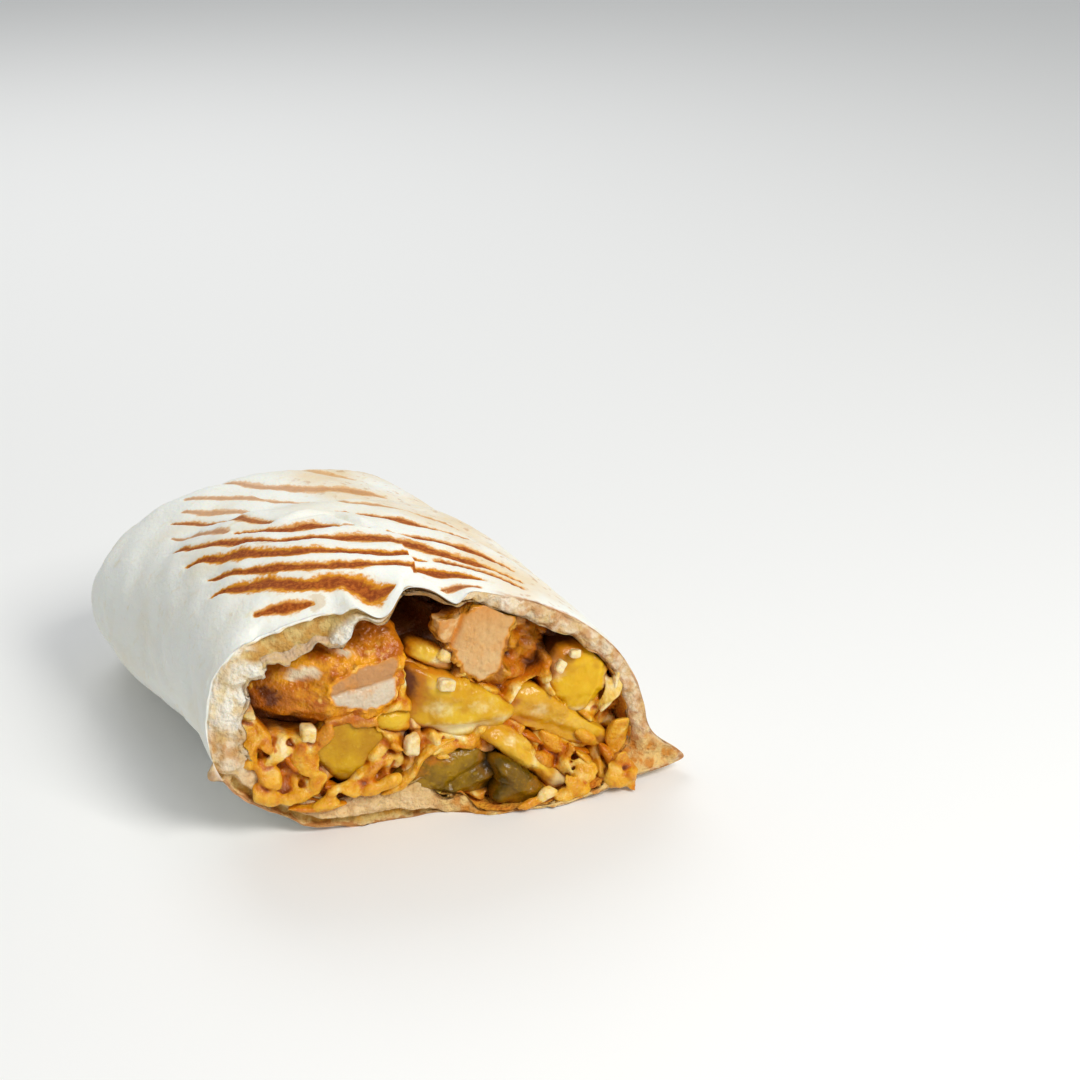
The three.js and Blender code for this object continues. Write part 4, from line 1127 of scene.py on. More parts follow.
def bakedFlatbread():
    # wheat flatbread, griddled: floury off-white skin, brown stripes with golden edges, cream torn crumb
    material, tree, shader, position, marks = startMaterial(
        "baked flatbread", "rightSide", "lip", "underside", "toast", "burn", "fromCut", "crumb", "pits",
        "tanned", "wet", "sauced")
    right, lip, underside, toast, burn, fromCut, crumb, pits, tanned, wet, sauced = marks
    patches = mottle(tree, position, 16, 3, 1)
    fine = mottle(tree, position, 2.4, 4, 3)
    flour = mottle(tree, position, 0.7, 2, 5)
    speckle = mottle(tree, position, 2.0, 4, 15)
    blisters = addNode(tree, "ShaderNodeTexVoronoi", {"feature": "F1", "Scale": 1 / (11 * mm)},
                       {"Vector": position})
    few = addNode(tree, "ShaderNodeSeparateColor", {}, {0: blisters.outputs["Color"]}).outputs[0]
    size = strength(tree, (few, 0.62, 0.95), 0.17)
    blister = weigh(tree, 0.25, (size, 1), (blisters.outputs["Distance"], -1), (fine, -0.5))
    warmth = weigh(tree, -0.6, (toast, 1), (fine, 1.2))
    char = weigh(tree, -1.0, (toast, 1), (fine, 1.2), (flour, 0.8))
    edge = weigh(tree, -1.5, (fromCut, 1), (fine, 3.0))
    baked = addNode(tree, "ShaderNodeMath", {"operation": "MAXIMUM"}, {0: underside, 1: lip}).outputs[0]
    toasted = addNode(tree, "ShaderNodeMath", {"operation": "MAXIMUM"},
                      {0: baked, 1: strength(tree, right, 0.8)}).outputs[0]
    freckled = addNode(tree, "ShaderNodeMath", {"operation": "MAXIMUM"}, {0: right, 1: underside}).outputs[0]
    brown = layered(tree, "#8a3f10", ("#b4601e", (flour, 0.35, 0.7)))
    stops = [(0.3, "#f3f5ee"), (0.55, "#f1f1e8"), (0.75, "#ece6d2")]
    floury = addNode(tree, "ShaderNodeValToRGB", {"stops": stops}, {"Fac": patches})
    skin = layered(
        tree, floury.outputs["Color"],
        ("#ece6d0", (fine, 0.58, 0.78)),
        ("#cda96c", (blister, -0.03, 0.04), 0.45),
        ("#e2be80", right, (patches, 0.25, 0.75), 0.55),
        ("#c08440", (speckle, 0.57, 0.72), freckled, 0.5),
        ("#eccd8e", (warmth, -1.2, 0.3), 0.3, burn),  # stripes: a warm halo, a golden edge, a brown middle
        ("#dc9222", (char, -0.4, 0.1), weigh(tree, 0.15, (burn, 0.85))),
        (brown, (char, 0.05, 0.55), (burn, 0.25, 0.85)),
        ("#c07a2c", (edge, 1.8, 0.6), toasted, 0.85))
    # the torn crumb is white, browned at the right and low on the left, tan and wet between the sheets, with
    # painted tan shade in the creases between its puffs
    browned = mottle(tree, position, 2.2, 4, 9)
    rimEdge = weigh(tree, -0.3, (crumb, 1), (fine, 0.6))
    torn = layered(
        tree, "#f7f1e2",
        ("#e9d6ab", (fine, 0.42, 0.74)),
        ("#e8be78", underside, 0.75),
        # painted tan shade in the creases between the puffs
        ("#d3b072", pits, 0.6),
        ("#d2a556", tanned, 0.55),
        ("#c08038", (browned, 0.42, 0.66), weigh(tree, 0.06, (tanned, 0.75), (underside, 0.22))),
        (layered(tree, "#c38e2c", ("#d9bb74", (fine, 0.38, 0.62))), wet, 0.92),
        (layered(tree, "#b87c14", ("#cb9838", (fine, 0.35, 0.65))), (crumb, 0.75, 1.3),
         weigh(tree, 0.25, (patches, 0.7))),
        (layered(tree, "#de7e04", ("#f2a420", (fine, 0.35, 0.65))), (crumb, 0.9, 1.2), sauced, 0.85),
        (layered(tree, "#cf8210", ("#e8c27a", (fine, 0.36, 0.58))), sauced, (crumb, 0.02, 0.2),
         (crumb, 1.5, 1.1), 0.9),
        ("#a9682a", (rimEdge, 0.12, 0.03), toasted, 0.8))
    setShader(shader, 0.85, 0.25, (1.0, 0.72, 0.45), 1.4, 0.0, 0.2)
    coarse = weigh(tree, 0.15, (strength(tree, (crumb, 0.0, 0.1)), 1))
    relief = weigh(tree, 0.0, (mottle(tree, position, 0.8, 5, 12), coarse), (flour, 0.15))
    finishSurface(tree, shader, layered(tree, skin, (torn, (crumb, 0.0, 0.02))), relief, 0.8)
    return material


def grilledChicken(name, flesh, paleFlesh, crust, darkCrust, flakeColour, fibreTurn):
    # chicken browned in oil: matt fibrous flesh where cut, glossy orange-brown crust elsewhere
    material, tree, shader, position, marks = startMaterial(
        name, "pale", "dark", "flake", "seam", "cut", "stain")
    pale, dark, flake, seam, cut, stain = marks
    turned = addNode(tree, "ShaderNodeMapping", {"Rotation": (0, math.radians(fibreTurn), 0)},
                     {"Vector": position})
    fibres = mottle(tree, turned.outputs[0], 0.9, 4, 2, (0.7, 0.9, 1.0))
    patches = mottle(tree, position, 3.6, 4, 4)
    fine = mottle(tree, position, 0.8, 3, 6)
    specks = mottle(tree, position, 2.2, 3, 8)
    # the dark mark holds painted shade, so the dark crust colour is partly painted shade
    char = weigh(tree, -0.6, (dark, 1), (patches, 0.7), (fine, 0.5))
    # the third crust colour, laid on in small specks, is a painted glint
    outer = layered(tree, crust[0], (crust[1], (patches, 0.38, 0.62)), (crust[2], (specks, 0.58, 0.72), 0.7),
                    (darkCrust, (char, 0.3, 0.8), 0.85))
    outer = layered(tree, soiled(tree, outer, stain, fine), (flakeColour, flake))
    frayed = weigh(tree, -0.55, (cut, 1), (patches, 1.1))
    exposed = strength(tree, (frayed, 0.42, 0.72), weigh(tree, 1.0, (flake, -1)))
    meat = layered(tree, flesh, (paleFlesh, pale), ("#bd824c", (fibres, 0.4, 0.65), 0.14))
    meat = layered(tree, "#d98c26", (meat, (frayed, 0.55, 1.05)), ("#d07c14", seam))
    setShader(shader, 0.45, 0.15, (1.0, 0.5, 0.2), 1.2, 0.65, 0.14)
    relief = addNode(tree, "ShaderNodeMix", {"data_type": "FLOAT"},
                     {0: exposed, 2: fine, 3: fibres}).outputs[0]
    finishSurface(tree, shader, steeped(tree, layered(tree, outer, (meat, exposed))), relief, 0.4)
    return material


def boiledPotato(name, colours, stainColour, wet):
    # waxy potato, boiled and sauced: yellow, soft broken edges, a wet film
    material, tree, shader, position, (cut, pale, stain) = startMaterial(name, "cut", "pale", "stain")
    patches = mottle(tree, position, 7.0, 2, 3)
    fine = mottle(tree, position, 1.3, 4, 5)
    soaked = strength(tree, (mottle(tree, position, 4.5, 2, 11), 0.53, 0.7), 0.35)
    # the sides behind the cut face take the deeper orange: partly sauce, partly painted shade
    side = weigh(tree, 0.3, (cut, -0.3))
    steeping = addNode(tree, "ShaderNodeMath", {"operation": "MAXIMUM"}, {0: soaked, 1: side}).outputs[0]
    # the pale spots give cream flesh, partly painted highlights
    creamy = weigh(tree, -0.35, (pale, 1), (fine, 0.7))
    flesh = layered(tree, colours[0], (colours[1], (patches, 0.35, 0.65)),
                    (colours[2], (fine, 0.5, 0.7), 0.15),
                    ("#f3e4ac", (creamy, 0.2, 0.85), 0.85), (stainColour, steeping))
    setShader(shader, 0.4, 0.3, (1.0, 0.6, 0.1), 2.0, wet, 0.1)
    finishSurface(tree, shader, steeped(tree, soiled(tree, flesh, stain, fine)), fine, 0.2)
    return material


def pickledCucumber(name, colours, wet=0.4):
    # cucumber in brine: see-through olive flesh, darker towards its skin, very wet
    material, tree, shader, position, (cut, stain) = startMaterial(name, "cut", "stain")
    patches = mottle(tree, position, 4.5, 3, 3)
    fine = mottle(tree, position, 1.0, 3, 5)
    skin = weigh(tree, 0.7, (cut, -0.7))
    flesh = layered(tree, colours[0], (colours[1], (patches, 0.35, 0.62)),
                    (colours[2], (fine, 0.55, 0.75), 0.4),
                    (colours[3], skin))
    setShader(shader, 0.3, 0.3, (0.9, 1.0, 0.15), 2.5, wet, 0.1)
    finishSurface(tree, shader, steeped(tree, soiled(tree, flesh, stain, fine), "#8a5a06", "#221a03"),
                  fine, 0.25)
    return material


def saucedShreds(name, wet=0.35):
    # diced and shredded white cabbage: cream, tinted by the sauce, see-through at its edges
    material, tree, shader, position, (tone, crease) = startMaterial(name, "tone", "crease")
    mixed = weigh(tree, -0.45, (tone, 1), (mottle(tree, position, 1.9, 3, 3), 0.9))
    stops = [(0.0, "#f1dfae"), (0.2, "#e9c468"), (0.42, "#dfa01c"), (0.7, "#cb7404"), (1.0, "#963e02")]
    tinted = addNode(tree, "ShaderNodeValToRGB", {"stops": stops}, {"Fac": mixed})
    # ridges get a painted highlight, shallow creases sauce orange, deep creases nearly black painted shade
    colour = layered(tree, tinted.outputs["Color"], ("#f3bf3a", (crease, -0.3, -1.0), 0.3),
                     ("#c25c04", (crease, -0.05, 0.35), 0.8),
                     ("#642002", (crease, 0.25, 0.8), 0.9))
    setShader(shader, 0.36, 0.3, (1.0, 0.5, 0.12), 1.4, wet, 0.12)
    finishSurface(tree, shader, steeped(tree, colour), mottle(tree, position, 0.8, 4, 7), 0.45)
    return material


def paleFloor():
    # matt studio board
    material, _, shader, *_ = startMaterial("pale floor")
    shader.inputs["Base Color"].default_value = toLinear("#f4f4f3")
    setShader(shader, 0.9)
    return material


# small pieces of the filling, placed one by one where the cut shows them

placedBits = [
    # kind, x, z and front in mm, lean in degrees, width, height, tone from cream to orange
    ("knob", -27.8, 21.6, 0.7, 80, 5.4, 2.9, 0.7), ("bit", -23.8, 19.6, 0.5, 60, 4.6, 3.8, 0.35),
    ("dice", -20.0, 20.2, 0.4, -10, 3.8, 3.8, 0.1), ("bit", -17.0, 18.9, 0.2, 78, 5.0, 3.2, 0.8),
    ("knob", -21.6, 16.9, 0.3, 75, 5.0, 2.8, 0.85), ("knob", -25.4, 16.6, 0.2, 32, 6.4, 2.6, 0.9),
    ("bit", -22.8, 13.9, -0.1, 10, 4.0, 3.0, 0.4), ("flake", -20.2, 14.0, -0.2, 25, 5.4, 3.6, 0.5),
    ("flake", -19.0, 10.4, -0.5, 62, 5.6, 3.6, 0.4), ("bit", -27.4, 12.8, -0.3, -12, 5.8, 3.8, 0.62),
    ("bit", -31.0, 18.0, 0.2, 70, 6.4, 3.8, 0.45), ("bit", -24.0, 11.0, -0.8, 25, 4.8, 3.2, 0.45),
    ("bit", -23.2, 8.4, -1.0, 6, 6.6, 3.0, 0.42), ("bit", -28.4, 9.6, -0.8, -25, 6.4, 3.4, 0.45),
    ("knob", -16.4, 8.2, -0.9, 70, 3.8, 2.4, 0.12), ("bit", -12.8, 8.4, -0.5, -8, 5.0, 3.2, 0.4),
    ("bit", -17.8, 6.2, -1.2, 5, 6.0, 2.6, 0.45), ("bit", -9.0, 7.6, -0.9, 8, 5.4, 2.8, 0.5),
    ("bit", -5.4, 8.4, -0.8, 14, 6.4, 3.0, 0.42), ("knob", -4.6, 10.9, -0.1, -6, 8.0, 3.4, 0.85),
    ("bit", -4.8, 14.2, 0.2, 58, 6.2, 4.2, 0.55), ("dice", -0.9, 15.0, -0.4, 84, 5.8, 3.6, 0.08),
    ("bit", -8.4, 10.6, 0.3, 30, 5.4, 3.4, 0.8), ("bit", -29.4, 13.8, 0.4, 50, 5.4, 4.0, 0.8),
    ("bit", -24.4, 22.4, 1.4, -5, 5.4, 2.6, 0.95), ("bit", -13.4, 21.4, 1.2, 4, 6.8, 2.4, 0.9),
    ("bit", -9.2, 20.4, 1.0, -8, 5.4, 2.4, 0.9), ("bit", -2.2, 23.2, 2.4, -30, 5.0, 3.4, 0.75),
    ("bit", 29.8, 8.6, -1.2, -35, 7.0, 4.4, 0.5), ("bit", 33.2, 8.2, -1.4, -25, 6.0, 4.4, 0.5),
    ("bit", 35.6, 6.0, -2.2, 60, 6.0, 4.0, 0.4), ("flake", 36.4, 3.8, -4.4, 74, 7.0, 3.4, 0.38),
    ("flake", 39.6, 9.6, 0.8, 80, 9.6, 5.4, 0.42), ("flake", 35.0, 6.6, -2.4, 76, 7.0, 3.6, 0.35),
    ("flake", 38.8, 4.8, -3.2, -66, 8.4, 4.4, 0.55), ("flake", 31.4, 4.4, -3.4, 35, 6.2, 3.6, 0.4),
    ("bit", 27.0, 1.4, -4.4, -10, 5.6, 3.4, 0.34), ("bit", 30.6, 1.4, -4.6, 10, 4.6, 2.4, 0.45),
    ("bit", 35.0, 1.6, -4.4, 0, 4.8, 2.4, 0.55), ("flake", 28.8, 3.2, -4.6, -40, 5.0, 3.0, 0.5),
    ("bit", 22.8, 2.8, -5.2, 30, 4.4, 3.0, 0.05), ("bit", 25.0, 4.0, -4.6, -20, 5.0, 3.4, 0.2),
    ("bit", 25.4, 1.6, -5.6, 10, 4.4, 2.8, 0.2), ("flake", 33.2, 4.6, -5.0, 64, 6.4, 3.2, 0.25),
    ("bit", 38.0, 2.2, -4.4, -10, 5.0, 2.8, 0.45), ("bit", 39.8, 3.4, -4.2, 20, 4.6, 3.0, 0.6),
    ("bit", 19.4, 1.6, -5.6, 5, 5.4, 2.2, 0.7), ("flake", 37.9, 18.4, 0.4, 62, 8.4, 3.4, 0.15),
    ("bit", 24.8, 6.8, 0.0, -45, 5.4, 3.4, 0.75), ("knob", 26.6, 10.4, 0.7, -38, 8.0, 3.4, 0.62),
    ("knob", 33.4, 10.2, 0.8, -35, 6.0, 3.0, 0.55), ("bit", 24.8, 23.8, 2.6, 60, 6.6, 3.6, 0.65),
    ("bit", 22.0, 21.8, 2.2, -10, 5.0, 3.2, 0.6), ("bit", 14.8, 22.4, 1.8, -30, 6.0, 3.0, 0.9),
    ("slab", 26.4, 32.0, 2.2, -40, 13.0, 8.0, 0.34), ("slab", 32.0, 30.8, 2.8, -40, 9.0, 4.4, 0.3),
    ("bit", 6.4, 30.6, 1.4, -30, 4.0, 3.0, 0.12), ("dice", 5.5, 26.3, -1.1, -12, 4.2, 2.9, 0.0),
    ("dice", 27.4, 26.4, -1.0, 55, 2.8, 2.2, 0.0), ("dice", 30.6, 28.4, -0.7, -8, 2.8, 1.9, 0.0),
    ("bit", 6.2, 12.8, 0.8, 20, 6.4, 3.0, 0.5), ("bit", 10.6, 12.6, 0.9, -4, 5.4, 2.8, 0.6),
    ("seed", 5.2, 11.2, -0.1, -5, 2.4, 1.1, 0.4), ("seed", 2.4, 10.9, 0.0, 10, 2.2, 1.0, 0.4),
    ("seed", 0.6, 8.9, 0.1, 25, 2.2, 1.0, 0.45), ("seed", 9.4, 9.0, -0.2, -24, 2.0, 1.0, 0.45),
]

ribbons = [
    # shreds of cabbage seen edge on: width and depth in mm, tone, then x, z and front along the middle
    (2.3, 5.0, 0.38, [(-7, 5.6, -0.4), (-3.2, 6.9, -0.7), (-0.6, 9.3, -0.9), (0.6, 11.6, -0.6),
                      (3, 13.2, -0.2), (8, 14.2, 0.6)]),
    (1.4, 4.0, 0.7, [(-17.4, 9.4, -0.4), (-14.6, 8.2, -0.6), (-11.6, 7.6, -0.7)]),
    (1.6, 4.0, 0.75, [(-26.8, 17.8, 0.4), (-24.2, 16.2, 0.2), (-22.6, 13.6, 0.0), (-20.8, 12.8, 0.0)]),
    (1.6, 4.0, 0.55, [(-24.6, 6.4, -1.2), (-21.2, 5.6, -1.4), (-17.2, 5.4, -1.4), (-13.6, 5.6, -1.2)]),
    (1.5, 4.0, 0.45, [(30.4, 8.6, -1.6), (32.4, 6.4, -2.4), (32.8, 3.6, -3.2), (31.6, 2.0, -3.8)]),
    (1.8, 4.0, 0.65, [(35.4, 9.0, -1.0), (37.0, 6.6, -2.0), (37.4, 4.0, -3.2), (38.8, 2.6, -3.8)]),
    (1.2, 3.0, 0.1, [(36.0, 15.2, 0.0), (38.0, 17.0, 0.0), (39.0, 19.4, 0.2), (39.6, 22.6, 0.4)]),
    (1.6, 5.0, 0.8, [(20.4, 13.2, 0.6), (24.6, 10.4, 0.6), (29.6, 8.0, 0.4), (34.0, 6.8, 0.2)]),
]


def bitGrid(k, kind, x, z, front, lean, width, height):
    # a chopped piece: a body cut by flat faces with soft edges, or a thin curled flake
    count, rows = 40, 26
    u = np.linspace(0.03, 0.97, rows)[:, None] * math.pi
    v = np.arange(count)[None] / count * 2 * math.pi
    ball = np.stack([np.cos(u) + v * 0, np.sin(u) * np.cos(v), np.sin(u) * np.sin(v)], -1)
    n = np.arange(11)
    tall = 1 - 2 * (n + 0.5) / 11 + 0.14 * chance(n, n * 0 + k, n * 0, 601)
    turn = n * 2.4 + 0.5 * chance(n, n * 0 + k, n * 0, 603)
    faces = np.stack([tall, np.sqrt(1 - tall ** 2) * np.cos(turn), np.sqrt(1 - tall ** 2) * np.sin(turn)], -1)
    far = 0.84 + 0.14 * chance(n, n * 0 + k, n * 0, 605)
    if kind == "dice":
        tilt = chance(*np.indices((6, 3)), 3 * np.ones((6, 3), int) + k, 607)
        faces = np.vstack([np.eye(3), -np.eye(3)]) + 0.12 * tilt
        far = np.full(6, 0.72)
    sharp = {"dice": 5, "bit": 7, "flake": 6, "knob": 4, "slab": 4, "seed": 4}[kind]
    reach = (np.clip(ball @ faces.T / far, 0, None) ** sharp).sum(-1) ** (-1 / sharp)
    body = ball * reach[..., None]
    thick = {"flake": 0.26, "seed": 0.4, "slab": 0.35}.get(kind, 0.5) * height
    bx, by, bz = body[..., 0] * width * 0.52, body[..., 1] * thick, body[..., 2] * height * 0.52
    if kind == "flake":
        by = by + (0.1 * bx ** 2 + 0.16 * bz * np.abs(bz)) * (1 if k % 2 else -1) + 0.2 * bz
    else:
        bz = bz + 0.16 * (bx ** 2 / width) * (1 if k % 2 else -1)
    a = math.radians(lean)
    grid = np.stack([bx * math.cos(a) - bz * math.sin(a), by, bx * math.sin(a) + bz * math.cos(a)], -1)
    outward = grid / (np.linalg.norm(grid, axis=-1, keepdims=True) + 1e-6)
    amount = {"seed": 0.04, "dice": 0.09, "knob": 0.15, "flake": 0.2, "slab": 0.05}.get(kind, 0.16) * height
    middle = np.array([x, x * wrap["cutSkew"] + front, z])
    bumps = (amount * rough(grid + middle, 0.42 * height + 0.4, 300 + k, 2)
             + 0.04 * rough(grid + middle, 0.6, 350 + k, 2))
    return grid + middle + outward * bumps[..., None]


def ribbonGrid(k, width, depth, path):
    # a strip swept along its path, with a flat oval section that leans into the filling
    points = np.array(path, float)
    s = np.linspace(0, 1, 46)
    at = np.linspace(0, 1, len(points))
    curve = np.stack([np.interp(s, at, points[:, i]) for i in range(3)], -1)
    for _ in range(6):
        curve[1:-1] = (curve[:-2] + 2 * curve[1:-1] + curve[2:]) / 4
    direction = np.gradient(curve[:, :2], axis=0)
    direction /= np.linalg.norm(direction, axis=1, keepdims=True)
    v = np.arange(24) / 24 * 2 * math.pi
    taper = np.sqrt(np.clip(1 - np.abs(2 * s - 1) ** 5, 0.01, 1)) * (1 + 0.25 * np.sin(s * 9 + k))
    side = np.cos(v)[None] * (width / 2 * taper)[:, None]
    into = (np.sin(v)[None] + 0.8) * (depth / 2 * taper)[:, None]
    x = curve[:, 0, None] - direction[:, 1, None] * side + 0.25 * into
    z = curve[:, 1, None] + direction[:, 0, None] * side - 0.15 * into
    grid = np.stack([x, x * wrap["cutSkew"] + curve[:, 2, None] + into, z], -1)
    away = grid - grid.mean(1, keepdims=True)
    away /= np.linalg.norm(away, axis=-1, keepdims=True) + 1e-6
    return grid + away * (0.3 * rough(grid, 1.7, 330 + k, 3))[..., None]


def makePlacedBits(material, seedMaterial):
    groups = {"soft": [], "dice": [], "seed": []}
    for k, (kind, x, z, front, lean, width, height, tone) in enumerate(placedBits):
        grid = bitGrid(k, kind, x, z, front, lean, width, height)
        groups[{"dice": "dice", "slab": "dice", "seed": "seed"}.get(kind, "soft")].append((grid, tone))
    loose = [(ribbonGrid(k, width, depth, path), tone)
             for k, (width, depth, tone, path) in enumerate(ribbons)]
    soft = joinGrids("softBits", groups["soft"])
    placed = finishPiece(joinGrids("placedBits", groups["dice"] + loose), [], material)
    return soft, [placed, finishPiece(joinGrids("pickleSeeds", groups["seed"]), [], seedMaterial)]


def readPoints(mesh, what="co"):
    flat = np.empty(len(mesh.vertices) * 3, np.float32)
    mesh.vertices.foreach_get(what, flat)
    return flat.reshape(-1, 3)


def soften(mesh, values, rounds):
    # each value becomes the mean of its neighbours, over and over
    ends = np.empty(len(mesh.edges) * 2, np.int32)
    mesh.edges.foreach_get("vertices", ends)
    a, b = ends.reshape(-1, 2).T
    size = len(mesh.vertices)
    count = np.maximum(np.bincount(ends, minlength=size), 1)
    for _ in range(rounds):
        columns = [np.bincount(a, column[b], size) + np.bincount(b, column[a], size) for column in values.T]
        values = np.stack(columns, -1) / count[:, None]
    return values


def fuse(name, things, material):
    # melts pieces that lie in sauce into one skin, and marks how deep each place lies in a crease, for
    # painted shade in the creases and a painted highlight on the ridges
    source = np.vstack([readPoints(thing.data) for thing in things])
    tones = []
    for thing in things:
        flat = np.empty(len(thing.data.vertices), np.float32)
        thing.data.attributes["tone"].data.foreach_get("value", flat)
        tones.append(flat)
    tones = np.concatenate(tones)
    tree = KDTree(len(source))
    for k, point in enumerate(source.tolist()):
        tree.insert(point, k)
    tree.balance()
    with bpy.context.temp_override(active_object=things[0], selected_editable_objects=things):
        bpy.ops.object.join()
    modifier = things[0].modifiers.new("fuse", "REMESH")
    modifier.mode, modifier.voxel_size = "VOXEL", heap["fuseSize"] * mm
    things[0].modifiers.new("thin out", "DECIMATE").ratio = heap["keptShare"]
    graph = bpy.context.evaluated_depsgraph_get()
    mesh = bpy.data.meshes.new_from_object(things[0].evaluated_get(graph))
    bpy.data.objects.remove(things[0])
    points = readPoints(mesh)
    nearest = [tree.find(point)[1] for point in points.tolist()]
    tone = soften(mesh, tones[nearest][:, None], 2)[:, 0]
    points = soften(mesh, points, heap["softening"])
    points[:, 2] = np.maximum(points[:, 2], 0)
    mesh.vertices.foreach_set("co", points.astype(np.float32).ravel())
    mesh.update()
    points, normals = readPoints(mesh), readPoints(mesh, "normal")
    depth = ((soften(mesh, points, 14) - points) * normals).sum(1) / mm
    for key, values in (("tone", tone), ("crease", np.clip(depth / 0.4, -1, 1))):
        mesh.attributes.new(key, "FLOAT", "POINT").data.foreach_set("value", values.astype(np.float32))
    mesh.polygons.foreach_set("use_smooth", [True] * len(mesh.polygons))
    mesh.name = name
    thing = bpy.data.objects.new(name, mesh)
    bpy.context.scene.collection.objects.link(thing)
    print(name, len(mesh.polygons), "faces")
    return finishPiece(thing, [], material)


def markHollows(things):
    # marks each point with how far it lies behind the food around it, from 0 to 1, for the painted shade in
    # the hollows
    cell, across, up = 0.5, 240, 120  # mm, cells
    front = np.full((across, up), 30.0)
    places = []
    for thing in things:
        points = readPoints(thing.data) / mm - np.array([*cutMiddle, 0])
        behind = behindCut(points)
        i = np.clip((points[:, 0] / cell + across / 2).astype(int), 0, across - 1)
        j = np.clip((points[:, 2] / cell + 10).astype(int), 0, up - 1)
        np.minimum.at(front, (i, j), behind)
        places.append((thing, i, j, behind))
    near = front.copy()
    for i in range(-4, 5):
        for j in range(-4, 5):
            if i * i + j * j <= 18:
                near = np.minimum(near, np.roll(front, (i, j), (0, 1)))
    for _ in range(5):
        near = (near + np.roll(near, 1, 0) + np.roll(near, -1, 0)
                + np.roll(near, 1, 1) + np.roll(near, -1, 1)) / 5
    for thing, i, j, behind in places:
        x, z = (i - across / 2) * cell, (j - 10) * cell
        hollow = (np.clip((behind - near[i, j] - 1.2) / 4.2, 0, 1)
                  * (1 - 0.75 * fade(19, 27, x) * (1 - fade(15, 21, z))))
        # deep inside the wrap the painted shade grows with the depth behind the cut
        hollow = np.maximum(hollow, np.clip((behind - 9) / 9, 0, 1))
        mark = thing.data.attributes.new("hollow", "FLOAT", "POINT")
        mark.data.foreach_set("value", hollow.astype(np.float32))


def joinGrids(name, grids):
    things = []
    for grid, tone in grids:
        things.append(gridMesh(name + "Part", grid, {"tone": np.full(grid.shape[:2], tone)}))
    with bpy.context.temp_override(active_object=things[0], selected_editable_objects=things):
        bpy.ops.object.join()
    things[0].name = things[0].data.name = name
    return things[0]


# shreds and bits strewn over the filling

strewn = {
    "strewnBits": {"kind": "bit", "density": 300, "spacing": 3.1, "length": 4.0, "width": 2.9, "seed": 4},
    "strewnShreds": {"kind": "shred", "density": 300, "spacing": 6.4, "length": 5.6, "width": 1.8, "seed": 9},
}


